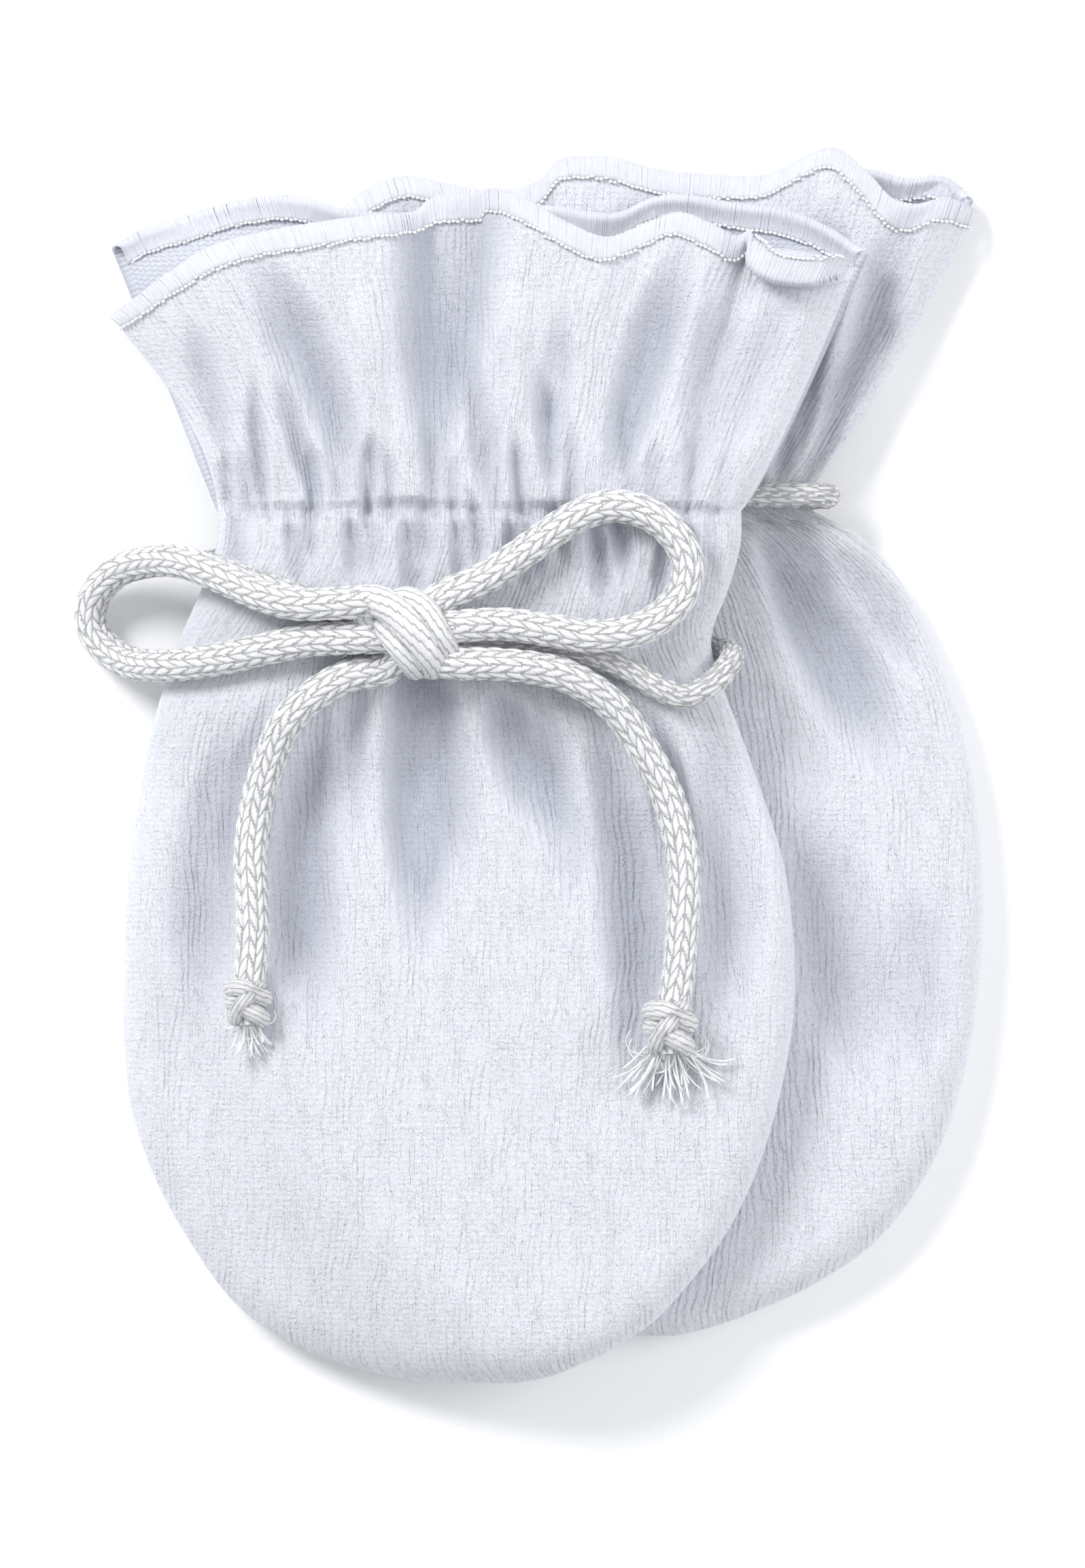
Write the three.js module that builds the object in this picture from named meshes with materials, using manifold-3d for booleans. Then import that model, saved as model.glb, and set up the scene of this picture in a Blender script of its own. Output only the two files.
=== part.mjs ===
// A pair of velour baby mittens, laid flat one on the other, with cords tied in a bow round the wrists.
// Millimetres, +Z up. The fingertips point to -Y, the ruffle cuffs to +Y, and the underside lies at z = 0.
import * as THREE from 'three';
import { mergeVertices } from 'three/addons/utils/BufferGeometryUtils.js';
import Module from 'manifold-3d';

const wasm = await Module();
wasm.setup();

// Driving sizes
const WALL = 1.7; // velour with its pile
const SEAM_GAP = 0.3; // between pieces at a seam
const BODY_HEIGHT = 7.3; // one mitten's two panels as they lie
const SEAM_HEIGHT = 3.5; // side seam above what the mitten lies on
const EDGE_ROUND = 4.5; // how far in from the seam the front panel is rolled
const UNDER_ROUND = 3.0; // the same on the back panel
const LAY_GAP = 0.4; // between the two mittens
const REST_LIFT = BODY_HEIGHT + LAY_GAP; // what the near mitten lies on
const DRAPE_FAR = 20.0; // beside the far mitten, where the near one has come down to the surface
const DRAPE_NEAR = 0.8;
const FLARE_LENGTH = 22.0; // of the ruffle's sides
const HEM_SEAM = 2.4; // side seam above what the mitten lies on, at the hem
const HEM_OPEN = 0.5; // how far each panel's hem stands off the side seam's level
const HEM_ROOM = 0.8; // most that the back panel's hem rises where the front one is pressed down
const CORD_DIAMETER = 3.5;
const RING_DIAMETER = 3.0; // the cord is thinner where it is drawn tight
const CORD_SIDES = 8;
const STRAND_RADIUS = 0.3;

// Outlines of the two pouches, a row for each level from the gathered wrist to the fingertips
const NEAR_BODY = [
  { y: 27.8, left: -35.8, right: 21.6 },
  { y: 24.0, left: -35.9, right: 21.5 },
  { y: 19.3, left: -37.6, right: 20.2 },
  { y: 13.9, left: -40.0, right: 18.3 },
  { y: 9.1, left: -41.6, right: 19.4 },
  { y: 3.9, left: -43.1, right: 21.4 },
  { y: -3.4, left: -44.6, right: 24.1 },
  { y: -10.7, left: -45.6, right: 26.3 },
  { y: -18.0, left: -46.1, right: 27.3 },
  { y: -25.0, left: -46.3, right: 27.5 },
  { y: -31.0, left: -46.2, right: 26.9 },
  { y: -38.0, left: -45.4, right: 25.4 },
  { y: -45.5, left: -42.8, right: 22.9 },
  { y: -51.8, left: -39.4, right: 19.6 },
  { y: -57.4, left: -35.6, right: 15.3 },
  { y: -61.0, left: -32.0, right: 11.8 },
  { y: -63.8, left: -27.5, right: 7.6 },
  { y: -65.7, left: -22.8, right: 3.6 },
  { y: -67.0, left: -17.6, right: 0.4 },
  { y: -67.7, left: -13.0, right: -3.4 },
];
const FAR_BODY = [
  { y: 29.7, left: -19.4, right: 28.2 },
  { y: 27.8, left: -20.4, right: 30.0 },
  { y: 25.4, left: -21.4, right: 34.6 },
  { y: 20.5, left: -22.3, right: 39.2 },
  { y: 15.0, left: -23.2, right: 42.2 },
  { y: 8.0, left: -24.4, right: 45.0 },
  { y: 0.0, left: -25.4, right: 47.1 },
  { y: -10.0, left: -26.1, right: 48.3 },
  { y: -18.0, left: -26.0, right: 48.4 },
  { y: -25.0, left: -25.4, right: 47.9 },
  { y: -33.0, left: -23.9, right: 46.6 },
  { y: -40.5, left: -21.2, right: 44.4 },
  { y: -47.5, left: -16.8, right: 40.7 },
  { y: -53.0, left: -12.2, right: 36.0 },
  { y: -57.3, left: -7.3, right: 29.6 },
  { y: -60.0, left: -2.6, right: 23.6 },
  { y: -61.8, left: 2.6, right: 18.8 },
  { y: -62.8, left: 7.2, right: 14.6 },
];

// Hems of the ruffle cuffs, seen from above, from the left side seam to the right one.
// lift is the height of the panel's outer face above what the mitten lies on.
const NEAR_HEM_FRONT = [
  { x: -48.4, y: 50.2, lift: 4.6 },
  { x: -45.5, y: 51.6, lift: 6.4 },
  { x: -41.2, y: 54.0, lift: 8.0 },
  { x: -36.5, y: 56.4, lift: 8.6 },
  { x: -30.9, y: 57.9, lift: 9.1 },
  { x: -24.6, y: 59.0, lift: 9.1 },
  { x: -18.6, y: 59.8, lift: 8.6 },
  { x: -14.8, y: 60.6, lift: 7.0 },
  { x: -12.4, y: 61.6, lift: 5.2 },
  { x: -8.0, y: 62.0, lift: 4.9 },
  { x: -4.4, y: 62.3, lift: 7.2 },
  { x: -1.2, y: 61.0, lift: 8.6 },
  { x: 2.6, y: 58.8, lift: 9.0 },
  { x: 6.8, y: 57.2, lift: 8.2 },
  { x: 10.9, y: 58.9, lift: 7.4 },
  { x: 14.6, y: 60.0, lift: 8.4 },
  { x: 18.6, y: 58.3, lift: 9.1 },
  { x: 22.4, y: 56.7, lift: 8.8 },
  { x: 26.4, y: 56.0, lift: 7.6 },
  { x: 31.4, y: 55.9, lift: 6.4 },
  { x: 35.8, y: 55.2, lift: 4.6 },
];
const NEAR_HEM_BACK = [
  { x: -47.7, y: 57.3, lift: 1.2 },
  { x: -44.7, y: 59.0, lift: 0.6 },
  { x: -39.3, y: 60.5, lift: 0.0 },
  { x: -34.5, y: 61.9, lift: 1.3 },
  { x: -29.7, y: 62.5, lift: 1.9 },
  { x: -25.9, y: 62.1, lift: 1.9 },
  { x: -21.4, y: 60.6, lift: 1.5 },
  { x: -14.9, y: 60.3, lift: 0.2 },
  { x: -5.9, y: 60.7, lift: 0.4 },
  { x: 0.8, y: 61.1, lift: 1.7 },
  { x: 5.6, y: 60.4, lift: 1.6 },
  { x: 8.6, y: 60.6, lift: 1.0 },
  { x: 12.0, y: 62.3, lift: 0.9 },
  { x: 15.7, y: 62.6, lift: 1.6 },
  { x: 20.9, y: 61.6, lift: 2.0 },
  { x: 26.3, y: 60.9, lift: 1.0 },
  { x: 31.0, y: 59.3, lift: 0.4 },
  { x: 35.7, y: 56.3, lift: 1.2 },
];
const FAR_HEM_FRONT = [
  { x: -33.0, y: 54.0, lift: 4.4 },
  { x: -28.4, y: 57.4, lift: 5.8 },
  { x: -23.3, y: 60.4, lift: 6.8 },
  { x: -19.8, y: 63.4, lift: 7.2 },
  { x: -15.5, y: 64.9, lift: 7.2 },
  { x: -10.4, y: 63.9, lift: 7.0 },
  { x: -5.3, y: 63.2, lift: 6.4 },
  { x: -0.6, y: 64.4, lift: 6.8 },
  { x: 2.6, y: 66.7, lift: 7.6 },
  { x: 7.9, y: 66.6, lift: 8.2 },
  { x: 12.6, y: 65.4, lift: 7.6 },
  { x: 18.7, y: 64.9, lift: 6.8 },
  { x: 24.7, y: 65.0, lift: 7.0 },
  { x: 28.6, y: 66.9, lift: 8.0 },
  { x: 32.0, y: 67.9, lift: 8.4 },
  { x: 35.2, y: 65.6, lift: 8.7 },
  { x: 38.2, y: 62.3, lift: 8.2 },
  { x: 41.0, y: 61.5, lift: 7.6 },
  { x: 44.4, y: 62.4, lift: 6.8 },
  { x: 48.2, y: 61.6, lift: 4.6 },
];
const FAR_HEM_BACK = [
  { x: -32.6, y: 55.0, lift: 0.6 },
  { x: -23.1, y: 59.8, lift: 0.2 },
  { x: -14.9, y: 62.0, lift: 0.0 },
  { x: -2.9, y: 61.8, lift: 0.0 },
  { x: 7.5, y: 64.2, lift: 1.0 },
  { x: 18.7, y: 63.6, lift: 0.0 },
  { x: 28.4, y: 64.6, lift: 0.8 },
  { x: 35.3, y: 65.9, lift: 1.5 },
  { x: 40.2, y: 65.0, lift: 1.4 },
  { x: 44.4, y: 65.2, lift: 0.8 },
  { x: 47.6, y: 62.6, lift: 1.0 },
];

// Folds, pleats and gathers of the front panels. Each runs from (x0, y0) past (x1, y1) to (x2, y2),
// with half its width at both ends and its depth.
const NEAR_FOLDS = [
  { x0: -30.0, y0: 50.0, x1: -24.6, y1: 41.0, x2: -20.4, y2: 28.6, w0: 3.6, w2: 1.8, depth: 2.4 },
  { x0: -28.6, y0: 37.0, x1: -27.2, y1: 32.0, x2: -26.0, y2: 27.8, w0: 1.8, w2: 1.6, depth: 1.8 },
  { x0: -11.6, y0: 63.0, x1: -12.6, y1: 44.0, x2: -13.7, y2: 28.2, w0: 6.0, w2: 2.2, depth: 3.2 },
  { x0: -9.6, y0: 39.0, x1: -8.4, y1: 34.0, x2: -7.4, y2: 28.2, w0: 1.9, w2: 1.6, depth: 1.8 },
  { x0: -0.9, y0: 39.5, x1: -0.4, y1: 34.0, x2: 0.1, y2: 28.2, w0: 1.9, w2: 1.7, depth: 2.0 },
  { x0: 13.4, y0: 53.0, x1: 8.4, y1: 40.0, x2: 5.6, y2: 28.4, w0: 3.0, w2: 1.9, depth: 2.4 },
  { x0: 19.0, y0: 53.0, x1: 17.2, y1: 42.0, x2: 14.6, y2: 29.4, w0: 3.2, w2: 2.2, depth: 1.2 },
  { x0: -35.2, y0: 27.8, x1: -8.0, y1: 27.7, x2: 21.4, y2: 27.3, w0: 1.5, w2: 1.5, depth: 1.1 },
  { x0: -29.2, y0: 27.0, x1: -28.4, y1: 24.0, x2: -27.6, y2: 20.6, w0: 1.6, w2: 1.6, depth: 1.6 },
  { x0: -22.5, y0: 27.4, x1: -22.2, y1: 24.4, x2: -21.6, y2: 20.4, w0: 1.6, w2: 1.8, depth: 1.7 },
  { x0: -16.4, y0: 27.4, x1: -15.8, y1: 23.6, x2: -15.0, y2: 18.0, w0: 1.7, w2: 2.2, depth: 1.8 },
  { x0: -10.9, y0: 27.2, x1: -10.6, y1: 24.4, x2: -9.8, y2: 20.6, w0: 1.5, w2: 1.7, depth: 1.6 },
  { x0: -5.0, y0: 27.4, x1: -4.6, y1: 25.0, x2: -3.6, y2: 21.0, w0: 1.5, w2: 1.8, depth: 1.6 },
  { x0: 4.0, y0: 26.0, x1: 4.6, y1: 22.0, x2: 5.6, y2: 17.0, w0: 1.8, w2: 2.4, depth: 1.9 },
  { x0: 12.4, y0: 26.6, x1: 12.0, y1: 22.6, x2: 11.6, y2: 18.4, w0: 1.7, w2: 2.0, depth: 1.3 },
  { x0: -14.6, y0: 13.4, x1: -15.0, y1: 2.0, x2: -14.4, y2: -20.6, w0: 3.0, w2: 3.6, depth: 3.4 },
  { x0: -24.6, y0: 7.6, x1: -29.4, y1: -10.0, x2: -26.4, y2: -32.6, w0: 2.6, w2: 4.0, depth: 2.6 },
  { x0: -7.2, y0: 9.6, x1: -4.0, y1: 0.8, x2: 1.4, y2: -9.4, w0: 2.4, w2: 3.2, depth: 2.5 },
  { x0: 4.0, y0: 5.4, x1: 10.4, y1: -13.0, x2: 9.4, y2: -36.4, w0: 2.8, w2: 3.8, depth: 2.6 },
  { x0: 16.2, y0: 8.0, x1: 20.2, y1: -10.0, x2: 18.4, y2: -34.6, w0: 2.6, w2: 3.6, depth: 2.0 },
  { x0: -34.0, y0: 6.6, x1: -39.0, y1: -12.0, x2: -37.6, y2: -31.0, w0: 3.0, w2: 4.2, depth: 1.5 },
];
const FAR_FOLDS = [
  { x0: 31.6, y0: 62.8, x1: 29.0, y1: 47.0, x2: 26.6, y2: 31.6, w0: 4.2, w2: 2.0, depth: 2.2 },
  { x0: 40.0, y0: 61.6, x1: 35.4, y1: 46.0, x2: 29.2, y2: 32.4, w0: 3.4, w2: 1.6, depth: 1.8 },
  { x0: 22.8, y0: 28.6, x1: 31.0, y1: 16.0, x2: 38.9, y2: -3.0, w0: 2.6, w2: 4.6, depth: 3.0 },
  { x0: 30.0, y0: 25.6, x1: 37.0, y1: 18.0, x2: 41.6, y2: 8.6, w0: 1.8, w2: 2.6, depth: 1.2 },
  { x0: 27.6, y0: -2.0, x1: 31.8, y1: -20.0, x2: 36.8, y2: -38.0, w0: 4.0, w2: 5.2, depth: 1.4 },
  { x0: 40.0, y0: -12.0, x1: 42.4, y1: -24.0, x2: 40.2, y2: -36.0, w0: 3.2, w2: 3.6, depth: 0.9 },
];
const FOLD_STEPS = 10;
const FOLD_FADE = 0.22; // share of a fold's length over which each end rises to its depth
const FOLD_START = 0.25; // share of the depth's rise that is done where a fold starts
const FOLD_END = 0.1;
const FOLD_REACH = 1.5; // a fold's soft sides, in half widths

// The wrist, where the panels rise over the stretch of cord under them, a row for each mitten.
// lift is the rise under the back panel, and top the front panel's height above what it lies on.
const NEAR_WRIST = { from: 8.0, to: 33.0, ramp: 11.0, lift: 3.3, top: 9.2 };
const FAR_WRIST = { from: 26.0, to: 33.6, ramp: 11.0, lift: 3.5, top: 7.3 };

// How the grid of a panel is spaced
const ROLL_STEPS = 3;
const RUFFLE_ROWS = 9;
const SIDE_CURVE_STEPS = 12;
const BODY_CURVE_STEPS = 3; // for each row of an outline's table
const HEM_CURVE_STEPS = 6; // for each row of a hem's table
const OUTLINE_STEPS = 40; // along the hem, where an outline is closed
const LEVEL_STEPS = 30; // to find a level in an outline's table
const SHORT_ROW_ROLL = 0.3; // most of a row's length that the roll takes at each side

// Helpers for numbers and curves
const clamp = (value, low, high) => Math.min(high, Math.max(low, value));
const mix = (a, b, t) => a + (b - a) * t;

function smoothStep(t) {
  const s = clamp(t, 0, 1);
  return s * s * (3 - 2 * s);
}

function splineValue(rows, column, t) {
  const last = rows.length - 1;
  const place = clamp(t, 0, last);
  const start = Math.min(Math.floor(place), last - 1);
  const f = place - start;
  const before = rows[Math.max(start - 1, 0)][column];
  const a = rows[start][column];
  const b = rows[start + 1][column];
  const after = rows[Math.min(start + 2, last)][column];
  const slopeA = (b - before) / 2;
  const slopeB = (after - a) / 2;
  const cubic = 2 * (a - b) + slopeA + slopeB;
  const square = 3 * (b - a) - 2 * slopeA - slopeB;
  return ((cubic * f + square) * f + slopeA) * f + a;
}

// The pouch's edges at the level y
function bodyLevel(rows, y) {
  let low = 0;
  let high = rows.length - 1;
  for (let i = 0; i < LEVEL_STEPS; i++) {
    const middle = (low + high) / 2;
    if (splineValue(rows, 'y', middle) > y) {
      low = middle;
    } else {
      high = middle;
    }
  }
  return { y, left: splineValue(rows, 'left', low), right: splineValue(rows, 'right', low) };
}

// A hem as a function of the length along it, from 0 to 1
function hemCurve(rows) {
  const steps = (rows.length - 1) * HEM_CURVE_STEPS;
  const samples = [];
  let length = 0;
  for (let i = 0; i <= steps; i++) {
    const t = (i / steps) * (rows.length - 1);
    const sample = {
      x: splineValue(rows, 'x', t),
      y: splineValue(rows, 'y', t),
      lift: splineValue(rows, 'lift', t),
    };
    if (i > 0) {
      length += Math.hypot(sample.x - samples[i - 1].x, sample.y - samples[i - 1].y);
    }
    samples.push({ ...sample, length });
  }
  const at = (share) => {
    const target = clamp(share, 0, 1) * length;
    let i = 1;
    while (i < samples.length - 1 && samples[i].length < target) {
      i++;
    }
    const a = samples[i - 1];
    const b = samples[i];
    const f = clamp((target - a.length) / (b.length - a.length), 0, 1);
    return { x: mix(a.x, b.x, f), y: mix(a.y, b.y, f), lift: mix(a.lift, b.lift, f) };
  };
  return { at, length };
}

// A point of the ruffle: share runs along the hem, rise from the gather line at 0 to the hem at 1
function rufflePoint(panel, share, rise) {
  const wrist = panel.body[0];
  const hem = panel.hem.at(share);
  const flare = Math.pow(rise, mix(panel.flareLeft, panel.flareRight, share));
  return {
    x: mix(mix(wrist.left, wrist.right, share), hem.x, flare),
    y: mix(wrist.y, hem.y, rise),
    lift: hem.lift,
  };
}

// The sides and the tip as one chain of points, from the hem's left corner round to its right corner
function sideChain(panel) {
  const left = [];
  const right = [];
  for (let i = SIDE_CURVE_STEPS; i > 0; i--) {
    left.push(rufflePoint(panel, 0, i / SIDE_CURVE_STEPS));
    right.push(rufflePoint(panel, 1, i / SIDE_CURVE_STEPS));
  }
  const steps = (panel.body.length - 1) * BODY_CURVE_STEPS;
  for (let i = 0; i <= steps; i++) {
    const t = i / BODY_CURVE_STEPS;
    const y = splineValue(panel.body, 'y', t);
    left.push({ x: splineValue(panel.body, 'left', t), y });
    right.push({ x: splineValue(panel.body, 'right', t), y });
  }
  return [...left, ...right.reverse()];
}

// How far a point is from a chain, and the outward direction at the nearest place.
// The chain runs anticlockwise, so its outward side is on its right.
function nearestOnChain(chain, x, y) {
  let best = { distance: Infinity, nx: 0, ny: 0 };
  for (let i = 1; i < chain.length; i++) {
    const a = chain[i - 1];
    const b = chain[i];
    const dx = b.x - a.x;
    const dy = b.y - a.y;
    const span = dx * dx + dy * dy;
    if (span === 0) {
      continue;
    }
    const t = clamp(((x - a.x) * dx + (y - a.y) * dy) / span, 0, 1);
    const distance = Math.hypot(x - a.x - dx * t, y - a.y - dy * t);
    if (distance < best.distance) {
      const size = Math.sqrt(span);
      best = { distance, nx: dy / size, ny: -dx / size };
    }
  }
  return best;
}

function insideOutline(outline, x, y) {
  let inside = false;
  for (let i = 0, j = outline.length - 1; i < outline.length; j = i++) {
    const a = outline[i];
    const b = outline[j];
    if (a.y > y !== b.y > y && x < ((b.x - a.x) * (y - a.y)) / (b.y - a.y) + a.x) {
      inside = !inside;
    }
  }
  return inside;
}

// Depth of all folds at a point
function foldDepth(folds, x, y) {
  let depth = 0;
  for (const fold of folds) {
    let best = Infinity;
    let bestT = 0;
    for (let i = 0; i <= FOLD_STEPS; i++) {
      const t = i / FOLD_STEPS;
      const px = mix(mix(fold.x0, fold.x1, t), mix(fold.x1, fold.x2, t), t);
      const py = mix(mix(fold.y0, fold.y1, t), mix(fold.y1, fold.y2, t), t);
      const distance = Math.hypot(x - px, y - py);
      if (distance < best) {
        best = distance;
        bestT = t;
      }
    }
    const reach = best / (mix(fold.w0, fold.w2, bestT) * FOLD_REACH);
    if (reach < 1) {
      const start = smoothStep(bestT / FOLD_FADE + FOLD_START);
      const end = smoothStep((1 - bestT) / FOLD_FADE + FOLD_END);
      depth += fold.depth * (1 - reach * reach) ** 2 * start * end;
    }
  }
  return depth;
}

function wristShare(wrist, y) {
  const fromTip = smoothStep((y - wrist.from + wrist.ramp) / wrist.ramp);
  const fromHem = smoothStep((wrist.to + wrist.ramp - y) / wrist.ramp);
  return fromTip * fromHem;
}

// What the near mitten lies on: the far mitten, and the surface beside it
function layHeight(x, y) {
  const signed = insideOutline(farOutline, x, y) ? 0 : -nearestOnChain(farOutline, x, y).distance;
  return REST_LIFT * smoothStep((signed + DRAPE_FAR) / (DRAPE_FAR - DRAPE_NEAR));
}

// Heights of a mitten's faces above what it lies on, before its folds
function bodyHeights(mitten, y) {
  const share = wristShare(mitten.wrist, y);
  return {
    low: mitten.wrist.lift * share,
    top: mix(BODY_HEIGHT, mitten.wrist.top, share),
    seam: mix(SEAM_HEIGHT, (mitten.wrist.lift + mitten.wrist.top) / 2, share),
  };
}

// Distances along a row of a panel: close together where the panel rolls to its seam
function acrossPlaces(length, columns, round) {
  const roll = Math.min(round, length * SHORT_ROW_ROLL);
  const places = [];
  for (let i = 0; i < ROLL_STEPS; i++) {
    places.push(roll * (1 - Math.cos((i / ROLL_STEPS) * (Math.PI / 2))));
  }
  const flat = columns - 2 * ROLL_STEPS;
  for (let i = 0; i <= flat; i++) {
    places.push(mix(roll, length - roll, i / flat));
  }
  for (let i = ROLL_STEPS - 1; i >= 0; i--) {
    places.push(length - places[i]);
  }
  return places;
}

// The levels of a pouch's rows, close together at the wrist and at the rolled tip
function bodyLevels(mitten) {
  const top = mitten.body[0].y;
  const tip = mitten.body[mitten.body.length - 1].y;
  const levels = [];
  for (let i = 1; i <= mitten.wristRows; i++) {
    levels.push(top - (i / mitten.wristRows) * mitten.wristLength);
  }
  const lowest = tip + EDGE_ROUND;
  for (let i = 1; i <= mitten.bodyRows; i++) {
    levels.push(mix(top - mitten.wristLength, lowest, i / mitten.bodyRows));
  }
  for (let i = ROLL_STEPS - 1; i >= 0; i--) {
    levels.push(tip + EDGE_ROUND * (1 - Math.cos((i / ROLL_STEPS) * (Math.PI / 2))));
  }
  return levels;
}

// The plan of a panel: rows of points from the hem to the tip
function panelPlan(panel) {
  const rows = [];
  const wrist = panel.body[0];
  for (let i = 0; i <= RUFFLE_ROWS; i++) {
    const rise = 1 - i / RUFFLE_ROWS;
    const length = mix(wrist.right - wrist.left, panel.hem.length, rise);
    const places = acrossPlaces(length, panel.columns, panel.round);
    rows.push(places.map((place) => ({ ...rufflePoint(panel, place / length, rise), rise })));
  }
  for (const y of bodyLevels(panel.mitten)) {
    const level = bodyLevel(panel.body, y);
    const places = acrossPlaces(level.right - level.left, panel.columns, panel.round);
    rows.push(places.map((place) => ({ x: level.left + place, y, lift: 0, rise: 0 })));
  }
  return rows;
}

// A panel's outer and inner point over one point of its plan
function panelPoint(panel, point, onRim) {
  const { mitten } = panel;
  const edge = nearestOnChain(panel.chain, point.x, point.y);
  const inward = onRim ? 0 : clamp(edge.distance / panel.round, 0, 1);
  const sideways = 1 - inward;
  const upward = Math.sqrt(1 - sideways * sideways);
  const base = mitten.lies(point.x, point.y);
  const heights = bodyHeights(mitten, point.y);
  const hemShare = smoothStep(point.rise);
  const flared = smoothStep((point.y - mitten.body[0].y) / FLARE_LENGTH);
  const seam = mix(heights.seam, HEM_SEAM, flared) + panel.facing * (SEAM_GAP / 2 + HEM_OPEN * flared);
  let level = Math.max(mix(panel.facing > 0 ? heights.top : heights.low, point.lift, hemShare), 0);
  if (panel.facing > 0) {
    const room = level - (mix(heights.low, HEM_ROOM, hemShare) + 2 * WALL + SEAM_GAP);
    level -= Math.min(foldDepth(mitten.folds, point.x, point.y), Math.max(room, 0));
  }
  const outer = new THREE.Vector3(point.x, point.y, base + mix(seam, level, upward));
  const direction = new THREE.Vector3(edge.nx * sideways, edge.ny * sideways, panel.facing * upward);
  const inner = outer.clone().addScaledVector(direction.normalize(), -WALL);
  return { outer, inner };
}

// A wall between two grids of points, closed along its four rims
function wallGeometry(rows, facing) {
  const rowCount = rows.length;
  const columnCount = rows[0].length;
  const positions = [];
  for (const side of ['outer', 'inner']) {
    for (const row of rows) {
      for (const point of row) {
        positions.push(point[side].x, point[side].y, point[side].z);
      }
    }
  }
  const faces = [];
  const index = (side, r, c) => side * rowCount * columnCount + r * columnCount + c;
  const quad = (a, b, c, d) => {
    if (facing > 0) {
      faces.push(a, b, c, a, c, d);
    } else {
      faces.push(a, c, b, a, d, c);
    }
  };
  for (let r = 0; r < rowCount - 1; r++) {
    for (let c = 0; c < columnCount - 1; c++) {
      quad(index(0, r, c), index(0, r + 1, c), index(0, r + 1, c + 1), index(0, r, c + 1));
      quad(index(1, r, c), index(1, r, c + 1), index(1, r + 1, c + 1), index(1, r + 1, c));
    }
  }
  const lastRow = rowCount - 1;
  const lastColumn = columnCount - 1;
  for (let c = 0; c < lastColumn; c++) {
    quad(index(0, 0, c), index(0, 0, c + 1), index(1, 0, c + 1), index(1, 0, c));
    quad(index(0, lastRow, c), index(1, lastRow, c), index(1, lastRow, c + 1), index(0, lastRow, c + 1));
  }
  for (let r = 0; r < lastRow; r++) {
    quad(index(0, r, 0), index(1, r, 0), index(1, r + 1, 0), index(0, r + 1, 0));
    const [above, below] = [r, r + 1].map((row) => [index(0, row, lastColumn), index(1, row, lastColumn)]);
    quad(above[0], below[0], below[1], above[1]);
  }
  const geometry = new THREE.BufferGeometry();
  geometry.setAttribute('position', new THREE.Float32BufferAttribute(positions, 3));
  geometry.setIndex(faces);
  return geometry;
}

function panelGeometry(panel) {
  const plan = panelPlan(panel);
  const rows = plan.map((row, r) =>
    row.map((point, c) => {
      const onRim = c === 0 || c === row.length - 1 || r === plan.length - 1;
      return panelPoint(panel, point, onRim);
    }),
  );
  return wallGeometry(rows, panel.facing);
}

function makePanel(mitten, hemRows, facing, columns, flareLeft, flareRight) {
  const panel = { mitten, body: mitten.body, facing, columns, flareLeft, flareRight };
  panel.round = facing > 0 ? EDGE_ROUND : UNDER_ROUND;
  panel.hem = hemCurve(hemRows);
  panel.chain = sideChain(panel);
  return panel;
}

// The two mittens
const farMitten = {
  body: FAR_BODY,
  folds: FAR_FOLDS,
  wrist: FAR_WRIST,
  lies: () => 0,
  wristRows: 5,
  wristLength: 20,
  bodyRows: 9,
};
const nearMitten = {
  body: NEAR_BODY,
  folds: NEAR_FOLDS,
  wrist: NEAR_WRIST,
  lies: layHeight,
  wristRows: 8,
  wristLength: 22,
  bodyRows: 13,
};
const farFront = makePanel(farMitten, FAR_HEM_FRONT, 1, 26, 1.0, 0.8);
const farBack = makePanel(farMitten, FAR_HEM_BACK, -1, 10, 1.0, 0.8);
const nearFront = makePanel(nearMitten, NEAR_HEM_FRONT, 1, 42, 1.7, 0.85);
const nearBack = makePanel(nearMitten, NEAR_HEM_BACK, -1, 12, 1.0, 0.85);
const farOutline = [...farFront.chain];
for (let i = 1; i < OUTLINE_STEPS; i++) {
  farOutline.push(farFront.hem.at(1 - i / OUTLINE_STEPS));
}
farOutline.push(farOutline[0]);

// The cords' routes, from a knot outwards
const NEAR_RING = [
  { x: -13.6, y: 14.8, z: 19.6 },
  { x: -17.6, y: 16.6, z: 18.8 },
  { x: -22.4, y: 18.3, z: 18.8 },
  { x: -27.1, y: 20.4, z: 18.0 },
  { x: -32.0, y: 22.9, z: 15.6 },
  { x: -35.8, y: 24.6, z: 12.4 },
  { x: -38.1, y: 25.2, z: 8.8 },
  { x: -37.3, y: 25.0, z: 5.6 },
  { x: -34.6, y: 24.4, z: 4.2 },
  { x: -30.0, y: 22.7, z: 6.4 },
  { x: -25.0, y: 21.5, z: 8.8 },
  { x: -18.0, y: 20.1, z: 9.2 },
  { x: -8.0, y: 18.2, z: 9.2 },
  { x: 4.0, y: 15.9, z: 9.2 },
  { x: 15.0, y: 13.5, z: 9.2 },
  { x: 18.9, y: 12.8, z: 10.0 },
  { x: 20.5, y: 12.2, z: 13.2 },
  { x: 20.2, y: 11.0, z: 16.4 },
  { x: 18.0, y: 8.7, z: 18.5 },
  { x: 15.2, y: 7.5, z: 18.8 },
  { x: 12.2, y: 8.6, z: 18.8 },
  { x: 8.8, y: 10.6, z: 18.8 },
  { x: 5.0, y: 12.0, z: 18.8 },
  { x: 0.0, y: 12.7, z: 18.8 },
  { x: -5.6, y: 13.0, z: 18.8 },
  { x: -9.8, y: 13.3, z: 18.8 },
  { x: -12.6, y: 13.6, z: 19.2 },
];
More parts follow.
